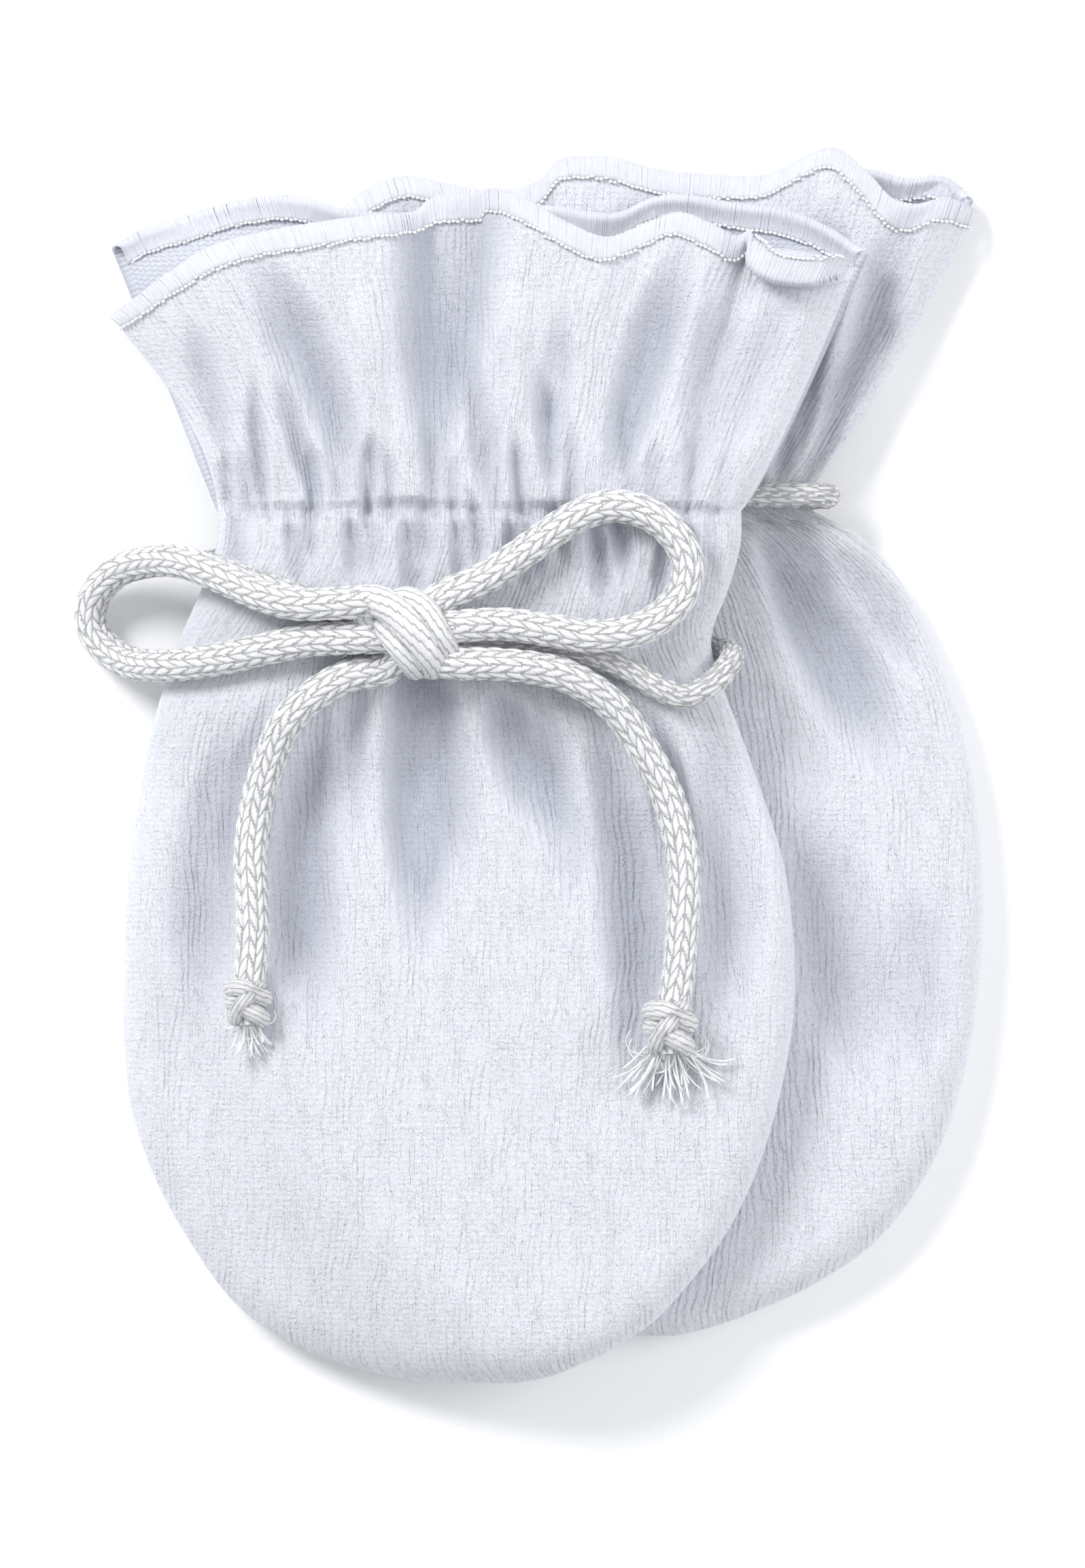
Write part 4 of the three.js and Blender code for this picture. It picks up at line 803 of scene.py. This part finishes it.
def panel_plan(panel, columns, ruffle_rows, body_rows):
    """Rows of plan points from the hem to the tip, and each point's place on the flat cloth."""
    rows = []
    top, tip = panel.body["y"][0], panel.body["y"][-1]
    left, right = panel.body["left"][0], panel.body["right"][0]
    for i in range(ruffle_rows + 1):
        rise = 1 - i / ruffle_rows
        length = mix(right - left, panel.hem_length, rise)
        share = across_places(length, columns, panel.round, ROLL_STEPS) / length
        x, y, lift = panel.ruffle(share, rise)
        flat_x = (share - 0.5) * CUT_WIDTH
        rows.append([x, y, lift, 0 * x + rise, share, flat_x, y])
    rolled = tip + EDGE_ROUND * (1 - np.cos(np.arange(ROLL_STEPS)[::-1] / ROLL_STEPS * np.pi / 2))
    levels = np.linspace(top, tip + EDGE_ROUND, body_rows + 1)[1:]
    for y in np.concatenate([levels, rolled]):
        left, right = panel.level(y)
        length = right - left
        places = across_places(length, columns, panel.round, ROLL_STEPS)
        width = mix(CUT_WIDTH, length, smooth_step((top - y) / CUT_LENGTH))
        x = left + places
        share = places / length
        rows.append([x, 0 * x + y, 0 * x, 0 * x, share, (share - 0.5) * width, 0 * x + y])
    return np.array(rows).transpose(1, 0, 2)


def fans(fine, coarse, flip):
    """Triangles and quads between a fine rim and a coarse one."""
    faces = []
    for i in range(len(coarse) - 1):
        for k in range(COARSE):
            a, b = fine[COARSE * i + k], fine[COARSE * i + k + 1]
            faces.append((a, b, coarse[i if k < COARSE / 2 else i + 1]))
        faces.append((fine[COARSE * i + COARSE // 2], coarse[i + 1], coarse[i]))
    faces = np.array(faces)
    return faces[:, ::-1] if flip else faces


def grid_faces(index, flip):
    a, b, c, d = index[:-1, :-1], index[1:, :-1], index[1:, 1:], index[:-1, 1:]
    faces = np.stack([a, b, c, d], axis=-1).reshape(-1, 4)
    return faces[:, ::-1] if flip else faces


def make_panel(name, panel, columns, ruffle_rows, body_rows, materials):
    """A cloth panel as a closed wall, with a fine outer face and a coarser inner one."""
    x, y, lift, rise, share, flat_x, flat_y = panel_plan(panel, columns, ruffle_rows, body_rows)
    on_rim = np.zeros(x.shape, bool)
    on_rim[:, [0, -1]] = True
    on_rim[-1] = True
    outer, inner, depth = panel.surface(x, y, lift, rise, on_rim, share)
    # The cloth attribute's third value is each point's fold depth, which the velour paints into its colour as
    # shade
    flat = np.stack([flat_x, flat_y, np.clip(depth / SHADE_DEPTH, 0, 1)], axis=-1)
    inner = inner[::COARSE, ::COARSE]
    flip = panel.facing < 0
    front = np.arange(outer.shape[0] * outer.shape[1]).reshape(outer.shape[:2])
    back = front.size + np.arange(inner.shape[0] * inner.shape[1]).reshape(inner.shape[:2])
    quads = [grid_faces(front, flip), grid_faces(back, not flip)]
    rims = [
        fans(front[0], back[0], flip),
        fans(front[-1], back[-1], not flip),
        fans(front[:, 0], back[:, 0], not flip),
        fans(front[:, -1], back[:, -1], flip),
    ]
    points = np.vstack([outer.reshape(-1, 3), inner.reshape(-1, 3)])
    cloth = np.vstack([flat.reshape(-1, 3), flat[::COARSE, ::COARSE].reshape(-1, 3)])
    inner_faces = len(quads[1]) + sum(len(rim) for rim in rims)
    kinds = np.concatenate([np.zeros(len(quads[0])), np.ones(inner_faces)])
    return make_mesh(name, points, quads + rims, materials, kinds, cloth=cloth)


def lie_height(outline):
    """What the near mitten lies on: the far mitten, and the surface beside it."""
    def height(x, y):
        distance, _, _ = nearest_on_chain(outline, x, y)
        signed = np.where(inside_outline(outline, x, y), 0, -distance)
        return REST_LIFT * smooth_step((signed + DRAPE_FAR) / (DRAPE_FAR - DRAPE_NEAR))
    return height


# Threads and cords
def tubes(paths, radius, sides):
    """Many thin tubes along paths with the same number of points, as points and faces."""
    paths = np.asarray(paths, float)
    count, steps, _ = paths.shape
    tangent = np.gradient(paths, axis=1)
    tangent /= np.linalg.norm(tangent, axis=2, keepdims=True) + 1e-9
    main = paths[:, -1] - paths[:, 0]
    steep = np.abs(main[:, 2:3]) > 0.8 * np.linalg.norm(main, axis=1, keepdims=True)
    helper = np.where(steep, (1.0, 0, 0), (0, 0, 1.0))
    side = np.zeros_like(paths)
    side[:, 0] = np.cross(tangent[:, 0], helper)
    side[:, 0] /= np.linalg.norm(side[:, 0], axis=1, keepdims=True) + 1e-9
    for i in range(1, steps):
        s = side[:, i - 1] - tangent[:, i] * (side[:, i - 1] * tangent[:, i]).sum(axis=1, keepdims=True)
        side[:, i] = s / (np.linalg.norm(s, axis=1, keepdims=True) + 1e-9)
    other = np.cross(tangent, side)
    angle = np.arange(sides) / sides * 2 * np.pi
    radius = np.broadcast_to(np.asarray(radius, float), (count, steps))[:, :, None, None]
    ring = side[:, :, None] * np.cos(angle)[:, None] + other[:, :, None] * np.sin(angle)[:, None]
    points = paths[:, :, None] + radius * ring
    index = np.arange(count * steps * sides).reshape(count, steps, sides)
    turned = np.roll(index, -1, axis=2)
    walls = np.stack([index[:, :-1], turned[:, :-1], turned[:, 1:], index[:, 1:]], axis=-1).reshape(-1, 4)
    caps = np.vstack([index[:, 0, ::-1], index[:, -1]])
    return points.reshape(-1, 3), [walls, caps]


def knit_relief(angle_share, along):
    """Height of a knitted cord's surface, and the coordinates across and along each stitch's leg."""
    wale = angle_share * KNIT_WALES
    s = 2 * (wale - np.floor(wale)) - 1
    phase = along / KNIT_PITCH - KNIT_SLANT * np.abs(s) + 0.37 * np.floor(wale)
    q = phase - np.floor(phase) - 0.5
    leg = np.sin(np.pi * np.abs(s)) ** 0.6
    height = leg * (0.3 + 0.7 * np.abs(np.cos(np.pi * q)) ** 0.7)
    number = np.floor(phase) + 17.0 * np.floor(wale) + 5.0 * np.sign(s)
    return height, q * KNIT_PITCH * 0.47 + 9.0 * number, along


def ply_relief(angle_share, along):
    """The same for a turn of cord drawn so tight that its filaments lie side by side."""
    ply = angle_share * PLY_STRANDS + 0.16 * along
    height = 0.35 + 0.65 * np.abs(np.sin(np.pi * ply)) ** 0.7
    return height, (ply % 1.0) * 0.9 + 7.0 * np.floor(ply % PLY_STRANDS), along


def raised(paths, lowest):
    """Paths kept above the surface that the mittens lie on."""
    return np.concatenate([paths[..., :2], np.maximum(paths[..., 2:], lowest)], axis=-1)


def fuzz_paths(centre, tangent, side, other, radius, count, random):
    """Loose fibres that stand a little off a cord."""
    place = random.integers(0, len(centre), count)
    angle = random.uniform(0, 2 * np.pi, (count, 1))
    out = side[place] * np.cos(angle) + other[place] * np.sin(angle)
    start = centre[place] + out * radius * 0.94
    way = tangent[place] * random.choice([-1.0, 1.0], (count, 1)) * random.uniform(0.4, 1.2, (count, 1))
    way = way + out * random.uniform(0.1, 0.7, (count, 1)) + random.normal(0, 0.2, (count, 3))
    way /= np.linalg.norm(way, axis=1, keepdims=True)
    bend = np.clip(random.normal(0, 0.3, (count, 3)), -0.4, 0.4) - 0.15 * out
    t = np.linspace(0, 1, 5)[None, :, None]
    length = random.uniform(0.3, 1.1, (count, 1, 1))
    return raised(start[:, None] + length * (way[:, None] * t + bend[:, None] * t**2), FUZZ_LOWEST)


def join_parts(parts):
    """Several (points, faces, thread) parts as one."""
    points, faces, thread, start = [], [], [], 0
    for part_points, part_faces, part_thread in parts:
        points.append(part_points)
        faces.extend(group + start for group in part_faces)
        thread.append(part_thread)
        start += len(part_points)
    return np.vstack(points), faces, np.vstack(thread)


def cord_part(route, diameter, relief, depth, sides, step):
    """A cord's surface along a route, closed at both ends."""
    centre, along = route_curve(route, step)
    tangent, side, other = curve_frames(centre)
    share = np.arange(sides) / sides
    along_grid, share_grid = np.broadcast_arrays(along[:, None], share[None, :])
    twist = 0.15 * np.sin(along_grid / 23.0)
    height, across, leg_along = relief((share_grid + twist) % 1.0, along_grid)
    angle = share_grid * 2 * np.pi
    radius = diameter / 2 + depth * (height - 0.62)
    points = centre[:, None] + radius[..., None] * (
        side[:, None] * np.cos(angle)[..., None] + other[:, None] * np.sin(angle)[..., None]
    )
    # The relief's height goes into the thread attribute, where the yarn's colour uses it for painted shade in
    # the grooves
    thread = np.stack([across, leg_along, height], axis=-1).reshape(-1, 3)
    count = len(centre)
    index = np.arange(count * sides).reshape(count, sides)
    turned = np.roll(index, -1, axis=1)
    walls = np.stack([index[:-1], turned[:-1], turned[1:], index[1:]], axis=-1).reshape(-1, 4)
    ends = np.vstack([centre[0] - 0.2 * tangent[0], centre[-1] + 0.2 * tangent[-1]])
    first, last = count * sides, count * sides + 1
    caps = np.vstack([
        np.stack([np.full(sides, first), turned[0], index[0]], axis=-1),
        np.stack([np.full(sides, last), index[-1], turned[-1]], axis=-1),
    ])
    points = np.vstack([points.reshape(-1, 3), ends])
    thread = np.vstack([thread, np.zeros((2, 3))])
    return (points, [walls, caps], thread), (centre, tangent, side, other), along[-1]


def yarn_mesh(name, parts, hairs, hair_radius, hair_sides, materials):
    """Cord parts with their loose fibres as one piece."""
    points, faces, thread = join_parts(parts)
    solid = sum(len(group) for group in faces)
    hair_points, hair_faces = tubes(hairs, hair_radius, hair_sides)
    points, faces, thread = join_parts([(points, faces, thread), (hair_points, hair_faces, 0 * hair_points)])
    kinds = np.zeros(sum(len(group) for group in faces))
    kinds[solid:] = 1
    piece = make_mesh(name, points, faces, materials, kinds, thread=thread)
    return piece


def knit_cord(name, route, diameter, materials, sides, step, random):
    """A knitted cord along a route, with its path and length in metres."""
    part, frames, length = cord_part(route, diameter, knit_relief, KNIT_RELIEF, sides, step)
    hairs = fuzz_paths(*frames, diameter / 2, int(length * FUZZ_PER_MM), random)
    piece = yarn_mesh(name, [part], hairs, FUZZ_RADIUS, 3, materials)
    centre = frames[0]
    path = np.vstack([centre[:: max(int(1.0 / step), 1)], centre[-1:]])
    return piece, path * MM, length * MM


def fray_paths(knot, random):
    """Filaments of a frayed end, in loose bundles, some of them curled back."""
    middle = np.array(knot["middle"])
    paths = []
    for bundle in knot["bundles"]:
        for _ in range(knot["each"]):
            angle = np.radians(bundle + random.normal(0, 4.5))
            straight = random.random() < FRAY_STRAIGHT
            bow = random.normal(0, 26.0) if straight else random.choice([-1, 1]) * 190.0
            reach = knot["reach"] * random.uniform(0.6, 1.05)
            t = np.linspace(0, 1, 10)
            heading = angle + np.radians(bow) * t**1.4
            step = reach / (len(t) - 1)
            x = np.concatenate([[0], np.cumsum(np.sin(heading[1:]) * step)])
            y = -np.concatenate([[0], np.cumsum(np.cos(heading[1:]) * step)])
            start = middle + np.array([0.035 * bundle, -1.9, 0]) * knot["scale"] + random.normal(0, 0.28, 3)
            z = mix(start[2], knot["floor"] + random.uniform(0.1, 1.3), smooth_step(1.5 * t))
            paths.append(np.stack([start[0] + x, start[1] + y, z], axis=-1))
    return np.array(paths)


def end_knot(name, knot, materials, random):
    """An overhand knot at the end of a tail, with its frayed filaments."""
    middle = np.array(knot["middle"])
    parts, hairs = [], []
    for diameter, route in END_TURNS:
        route = middle + np.array(route) * knot["scale"]
        scaled = diameter * knot["scale"]
        part, frames, _ = cord_part(route, scaled, ply_relief, PLY_RELIEF, 40, 0.17)
        parts.append(part)
        hairs.append(fuzz_paths(*frames, scaled / 2, FUZZ_PER_END_TURN, random))
    fray = fray_paths(knot, random)
    fuzz_points, fuzz_faces = tubes(np.concatenate(hairs), FUZZ_RADIUS, 3)
    parts.append((fuzz_points, fuzz_faces, 0 * fuzz_points))
    thickness = random.uniform(0.06, 0.15, (len(fray), 1))
    piece = yarn_mesh(name, parts, fray, thickness, 5, materials)
    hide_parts(knot["node"])
    return piece


def turns_knot(name, turns, node, materials, random):
    """A knot made of turns of cord."""
    parts, hairs = [], []
    for diameter, route in turns:
        part, frames, length = cord_part(route, diameter, ply_relief, PLY_RELIEF, 52, 0.17)
        parts.append(part)
        hairs.append(fuzz_paths(*frames, diameter / 2, int(length * FUZZ_PER_MM_OF_TURN), random))
    piece = yarn_mesh(name, parts, np.concatenate(hairs), FUZZ_RADIUS, 3, materials)
    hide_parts(node)
    return piece


# Materials
class Look:
    """A small helper that builds a node material line by line."""

    def __init__(self, name):
        self.material = bpy.data.materials.new(name)
        self.material.use_nodes = True
        self.tree = self.material.node_tree
        self.tree.nodes.clear()
        self.output = self.tree.nodes.new("ShaderNodeOutputMaterial")
        self.shader = self.tree.nodes.new("ShaderNodeBsdfPrincipled")
        self.link(self.shader.outputs[0], self.output.inputs["Surface"])

    def link(self, source, target):
        self.tree.links.new(source, target)

    def put(self, socket, value):
        if isinstance(value, bpy.types.NodeSocket):
            self.link(value, socket)
        else:
            socket.default_value = value

    def node(self, kind, inputs=(), **settings):
        node = self.tree.nodes.new(kind)
        for key, value in settings.items():
            setattr(node, key, value)
        for key, value in dict(inputs).items():
            self.put(node.inputs[key], value)
        return node

    def math(self, operation, a, b=0.0, c=0.0):
        return self.node("ShaderNodeMath", {0: a, 1: b, 2: c}, operation=operation).outputs[0]

    def attribute(self, name):
        return self.node("ShaderNodeAttribute", attribute_name=name).outputs["Vector"]

    def scaled(self, vector, scale):
        return self.node("ShaderNodeVectorMath", {0: vector, 1: scale}, operation="MULTIPLY").outputs[0]

    def noise(self, vector, scale, detail=2.0, rough=0.5):
        inputs = {"Vector": vector, "Scale": scale, "Detail": detail, "Roughness": rough}
        return self.node("ShaderNodeTexNoise", inputs).outputs["Fac"]

    def ramp(self, value, low, high):
        inputs = {"Value": value, "From Min": low, "From Max": high}
        return self.node("ShaderNodeMapRange", inputs).outputs[0]

    def blend(self, factor, a, b):
        node = self.node("ShaderNodeMix", data_type="RGBA")
        self.put(node.inputs["Factor"], factor)
        self.put(node.inputs[6], a)
        self.put(node.inputs[7], b)
        return node.outputs[2]

    def bumps(self, *rows):
        """Bumps laid one on the other, each a height and a distance in metres."""
        normal = None
        for height, distance in rows:
            node = self.node("ShaderNodeBump", {"Height": height, "Distance": distance, "Strength": 1.0})
            if normal is not None:
                self.link(normal, node.inputs["Normal"])
            normal = node.outputs[0]
        return normal

    def surface(self, values):
        for key, value in values.items():
            self.put(self.shader.inputs[key], value)


def separate(look, vector):
    node = look.node("ShaderNodeSeparateXYZ", {0: vector})
    return node.outputs[0], node.outputs[1], node.outputs[2]


def velour_look():
    """Velour: short pile in fine wales along the mitten, brushed in soft streaks, with painted shade
    darkening its colour in the folds.
    """
    look = Look("velour")
    u, v, shade = separate(look, look.attribute("cloth"))
    cloth = look.node("ShaderNodeCombineXYZ", {0: u, 1: v}).outputs[0]
    bend = look.noise(look.scaled(cloth, (0.35, 0.12, 1.0)), 1.0, 2.0)
    shifted = look.math("MULTIPLY_ADD", bend, 2.4, u)
    wale = look.math("SINE", look.math("MULTIPLY", shifted, 2 * np.pi / WALE_PITCH))
    row_bend = look.noise(look.scaled(cloth, (0.9, 0.9, 1.0)), 1.3, 1.0)
    row_place = look.math("MULTIPLY_ADD", v, 2 * np.pi / ROW_PITCH, look.math("MULTIPLY", row_bend, 9.0))
    knit = look.math("MULTIPLY_ADD", look.math("SINE", row_place), 0.28, wale)
    streak = look.noise(look.scaled(cloth, (1.8, 0.55, 1.0)), 1.0, 3.0, 0.6)
    tuft = look.noise(look.scaled(cloth, (2.8, 1.7, 1.0)), 1.0, 3.0, 0.65)
    fibre = look.noise(look.scaled(cloth, (9.0, 4.5, 1.0)), 1.0, 2.0, 0.7)
    lump = look.noise(look.scaled(cloth, (0.16, 0.09, 1.0)), 1.0, 2.0)
    normal = look.bumps((lump, 0.0012), (streak, 0.00013), (tuft, 0.00019), (knit, 0.00005), (fibre, 0.00014))
    pile = look.math("ADD", look.math("MULTIPLY", tuft, 0.55), look.math("MULTIPLY", fibre, 0.45))
    color = look.blend(look.ramp(pile, 0.3, 0.54), (0.65, 0.675, 0.75, 1.0), (0.815, 0.832, 0.885, 1.0))
    # Painted shade: the colour darkens towards a bluish grey with the fold depth in the cloth attribute's
    # third value
    look.surface({
        "Base Color": look.blend(look.math("MULTIPLY", shade, 0.7), color, (0.43, 0.45, 0.53, 1.0)),
        "Normal": normal,
        "Roughness": 0.9,
        "Sheen Weight": 0.25,
        "Sheen Roughness": 0.45,
        "Specular IOR Level": 0.2,
    })
    return look.material


def backing_look():
    """The velour's inside: a smooth shiny knit, greyer than the pile, with its colour painted darker for the
    shade it lies in.
    """
    look = Look("velour_inside_painted_shade")
    cloth = look.attribute("cloth")
    u, v, _ = separate(look, cloth)
    wale = look.math("SINE", look.math("MULTIPLY", u, 2 * np.pi / 0.8))
    loop_place = look.math("MULTIPLY_ADD", v, 2 * np.pi / 0.55, look.math("MULTIPLY", wale, 1.2))
    fibre = look.noise(look.scaled(cloth, (6.0, 3.0, 1.0)), 1.0, 2.0, 0.6)
    height = look.math("MULTIPLY_ADD", fibre, 1.6, wale)
    height = look.math("MULTIPLY_ADD", look.math("SINE", loop_place), 0.6, height)
    # Painted shade: the grey is set darker than the knit's own tone to stand in for the shade inside the
    # mitten
    color = look.blend(look.ramp(fibre, 0.3, 0.7), (0.55, 0.57, 0.65, 1.0), (0.68, 0.70, 0.77, 1.0))
    look.surface({
        "Base Color": color,
        "Normal": look.bumps((height, 0.00003)),
        "Roughness": 0.5,
        "Sheen Weight": 0.15,
        "Specular IOR Level": 0.5,
    })
    return look.material


def yarn_look():
    """The cord's yarn: shiny filaments that run along each stitch's leg, its colour painted darker in the
    knit's grooves as shade.
    """
    look = Look("yarn")
    thread = look.attribute("thread")
    _, _, height = separate(look, thread)
    filament = look.noise(look.scaled(thread, (7.0, 0.55, 0.0)), 1.0, 2.0, 0.55)
    hair = look.noise(look.scaled(thread, (22.0, 1.2, 0.0)), 1.0, 2.0, 0.6)
    # Painted shade: the colour is darker where the knit's relief is low, in its grooves, mixed with the
    # filaments' random tone
    painted_groove_shade_and_tone = look.ramp(look.math("ADD", height, look.math("MULTIPLY", filament, 0.5)), 0.25, 0.95)
    look.surface({
        "Base Color": look.blend(painted_groove_shade_and_tone, (0.90, 0.91, 0.935, 1.0), (0.98, 0.985, 0.995, 1.0)),
        "Normal": look.bumps((filament, 0.00017), (hair, 0.00008)),
        "Roughness": 0.48,
        "Sheen Weight": 0.5,
        "Specular IOR Level": 0.45,
        "Subsurface Weight": 0.5,
        "Subsurface Radius": (1.0, 1.0, 1.0),
        "Subsurface Scale": 0.001,
    })
    return look.material


def thread_look(name, color, roughness):
    """Sewing thread and loose filaments."""
    look = Look(name)
    place = look.node("ShaderNodeTexCoord").outputs["Object"]
    darker = tuple(0.86 * c for c in color) + (1.0,)
    look.surface({
        "Base Color": look.blend(look.noise(place, 900.0, 2.0), darker, color + (1.0,)),
        "Normal": look.bumps((look.noise(place, 5200.0, 2.0), 0.00006)),
        "Roughness": roughness,
        "Sheen Weight": 0.2,
    })
    return look.material


def floor_look():
    look = Look("floor")
    look.surface({
        "Base Color": (0.96, 0.96, 0.965, 1.0),
        "Roughness": 0.9,
        "Specular IOR Level": 0.1,
        "Emission Color": (1.0, 1.0, 1.0, 1.0),
        "Emission Strength": 0.05,
    })
    return look.material


# Overlocked hems
def edge_threads(panel, share, reach, random):
    """Paths of the threads that wrap a hem's edge, from the outer face to the inner one."""
    count = len(share)
    depth = np.linspace(1, 0, HEM_STEPS)[None, :] * HEM_BAND * (1 + random.normal(0, HEM_WOBBLE, (count, 1)))
    slant = HEM_SLANT * np.linspace(1, -1, HEM_STEPS)[None, :]
    leaning = np.clip(share[:, None] + slant, *HEM_ENDS)
    outer, inner = panel.ruffle_surface(leaning, 1 - depth / reach[:, None])
    normal = outer - inner
    normal /= np.linalg.norm(normal, axis=2, keepdims=True)
    swell = HEM_SWELL * np.sin(np.linspace(0, np.pi / 2, HEM_STEPS))[None, :, None]
    lift = HEM_THREAD * (0.2 + 0.16 * random.random((count, 1, 1)))
    outside = outer + normal * (lift + swell)
    inside = (inner - normal * (lift + swell))[:, ::-1]
    away = outer[:, -1] - outer[:, -2]
    away /= np.linalg.norm(away, axis=1, keepdims=True)
    turn = (outer[:, -1] + inner[:, -1]) / 2 + away * HEM_TURN
    paths = np.concatenate([outside, turn[:, None], inside], axis=1)
    return paths + random.normal(0, HEM_WOBBLE, paths.shape)


def chain_paths(panel, share, reach, random):
    """Paths of the small loops beside the threads, on the outer face and on the inner one."""
    loops = int(panel.hem_length / CHAIN_PITCH)
    place = (np.arange(loops) + 0.5) / loops
    steps = np.linspace(-0.5, 0.5, len(CHAIN_WAVE))[None, :]
    depth = HEM_BAND + 0.02 + 0.07 * random.normal(0, 1, (loops, 1))
    rise = 1 - depth / np.interp(place, share, reach)[:, None] + 0.0 * steps
    loop_share = np.clip(place[:, None] + steps * (CHAIN_LOOP / panel.hem_length), *HEM_ENDS)
    outer, inner = panel.ruffle_surface(loop_share, rise)
    normal = outer - inner
    normal /= np.linalg.norm(normal, axis=2, keepdims=True)
    lift = (CHAIN_LIFT + np.array(CHAIN_WAVE))[None, :, None]
    return outer + normal * lift, inner - normal * lift


def make_overlock(name, panel, materials, random):
    """The overlock stitch round a hem: threads that wrap the edge, and a chain of small loops beside them."""
    count = int(panel.hem_length / HEM_PITCH)
    share = (np.arange(count) + 0.5) / count
    share = np.clip(share + random.normal(0, 0.0003, count), 0.004, 0.996)
    reach = panel.near_hem(share)[2]
    threads = raised(edge_threads(panel, share, reach, random), HEM_LOWEST)
    points, faces = tubes(threads, HEM_THREAD * (0.85 + 0.3 * random.random((count, 1))), 4)
    kinds = [np.zeros(sum(len(group) for group in faces))]
    for chain in chain_paths(panel, share, reach, random):
        more_points, more_faces = tubes(raised(chain, HEM_LOWEST), CHAIN_RADIUS, 5)
        faces = faces + [group + len(points) for group in more_faces]
        points = np.vstack([points, more_points])
        kinds.append(np.ones(sum(len(group) for group in more_faces)))
    piece = make_mesh(name, points, faces, materials, np.concatenate(kinds))
    return piece


# Stage
def make_stage(material):
    half, low = FLOOR_HALF * MM, -FLOOR_DEPTH * MM
    mesh = bpy.data.meshes.new("floor")
    corners = [(-half, -half, low), (half, -half, low), (half, half, low), (-half, half, low)]
    mesh.from_pydata(corners, [], [(0, 1, 2, 3)])
    mesh.materials.append(material)
    floor = bpy.data.objects.new("floor", mesh)
    bpy.context.scene.collection.objects.link(floor)


def make_light(name, location, size, power):
    data = bpy.data.lights.new(name, "AREA")
    data.shape = "DISK"
    data.size = size
    data.energy = power
    lamp = bpy.data.objects.new(name, data)
    lamp.location = location
    lamp.rotation_euler = (-Vector(location)).to_track_quat("-Z", "Y").to_euler()
    bpy.context.scene.collection.objects.link(lamp)


def light_scene():
    world = bpy.data.worlds.new("world")
    world.use_nodes = True
    background = world.node_tree.nodes["Background"]
    background.inputs["Color"].default_value = (0.95, 0.97, 1.0, 1.0)
    background.inputs["Strength"].default_value = WORLD_LIGHT
    bpy.context.scene.world = world
    for light in LIGHTS:
        make_light(*light)
    view = bpy.context.scene.view_settings
    view.view_transform = "Standard"
    view.look = "None"


# The scene
make_camera()
random = np.random.default_rng(SEED)
velour = velour_look()
inside = backing_look()
yarn = yarn_look()
hem_threads = [
    thread_look("hem_thread", (0.745, 0.76, 0.82), 0.7),
    thread_look("chain_thread", (0.97, 0.97, 0.98), 0.5),
]
filament = thread_look("filament", (0.97, 0.975, 0.985), 0.45)

yarns = [yarn, filament]
end_knots = {side: end_knot("end_knot_" + side, knot, yarns, random) for side, knot in END_KNOTS.items()}
knots = {
    "tail_left": end_knots["left"],
    "tail_right": end_knots["right"],
    "ring_near": turns_knot("bow_knot", BOW_TURNS, "near_bow_knot", yarns, random),
    "ring_far": turns_knot("knot_far", FAR_KNOT_TURNS, "far_knot", yarns, random),
}
# Each cord's name, route, diameter, node, far end and lay, and its mesh's sides and step
CORDS = (
    ("ring_near", NEAR_RING, RING_DIAMETER, "near_cord_ring", "object", "taut", 36, 0.3),
    ("loop_left", NEAR_LOOP_LEFT, CORD_DIAMETER, "near_loop_left", "object", "loose", 54, 0.19),
    ("loop_right", NEAR_LOOP_RIGHT, CORD_DIAMETER, "near_loop_right", "object", "loose", 54, 0.19),
    ("tail_left", NEAR_TAIL_LEFT, CORD_DIAMETER, "near_tail_left", "knot", "loose", 54, 0.19),
    ("tail_right", NEAR_TAIL_RIGHT, CORD_DIAMETER, "near_tail_right", "knot", "loose", 54, 0.19),
    ("ring_far", FAR_RING, RING_DIAMETER, "far_cord_ring", "object", "taut", 36, 0.3),
)
for name, route, diameter, node, far_end, lay, sides, step in CORDS:
    cord, path, length = knit_cord(name, route, diameter, yarns, sides, step, random)
    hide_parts(node)

far_mitten = {
    "body": FAR_BODY, "wrist": FAR_WRIST, "lies": lambda x, y: 0 * x,
    "folds": joined(FAR_FOLDS, FAR_CREASES), "creases": moved(BACK_CREASES, FAR_SHIFT),
}
far_front = Panel(far_mitten, FAR_HEM_FRONT, 1, 1.0, 0.8)
far_back = Panel(far_mitten, FAR_HEM_BACK, -1, 1.0, 0.8, far_front)
far_hem = np.stack(far_front.hem(np.linspace(1, 0, 61))[:2], axis=1)
far_outline = np.vstack([far_front.chain, far_hem[1:]])
near_mitten = {
    "body": NEAR_BODY, "wrist": NEAR_WRIST, "lies": lie_height(far_outline),
    "folds": joined(moved(NEAR_FOLDS, (FOLD_SIDE, 0)), puckers(NEAR_PUCKERS), NEAR_CREASES),
    "creases": BACK_CREASES,
}
near_front = Panel(near_mitten, NEAR_HEM_FRONT, 1, 1.7, 0.85)
near_back = Panel(near_mitten, NEAR_HEM_BACK, -1, 1.0, 0.85, near_front)

# Each panel's name, shape, columns, rows of the ruffle, rows of the pouch, and node
PANELS = (
    ("near_front", near_front, 272, 90, 216, "near_mitten_front"),
    ("near_back", near_back, 120, 60, 62, "near_mitten_back"),
    ("far_front", far_front, 180, 70, 132, "far_mitten_front"),
    ("far_back", far_back, 96, 48, 50, "far_mitten_back"),
)
for name, panel, columns, ruffle_rows, body_rows, node in PANELS:
    cloth = make_panel(name + "_cloth", panel, columns, ruffle_rows, body_rows, [velour, inside])
    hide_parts(node)
    overlock = make_overlock(name + "_overlock", panel, hem_threads, random)

make_stage(floor_look())
light_scene()
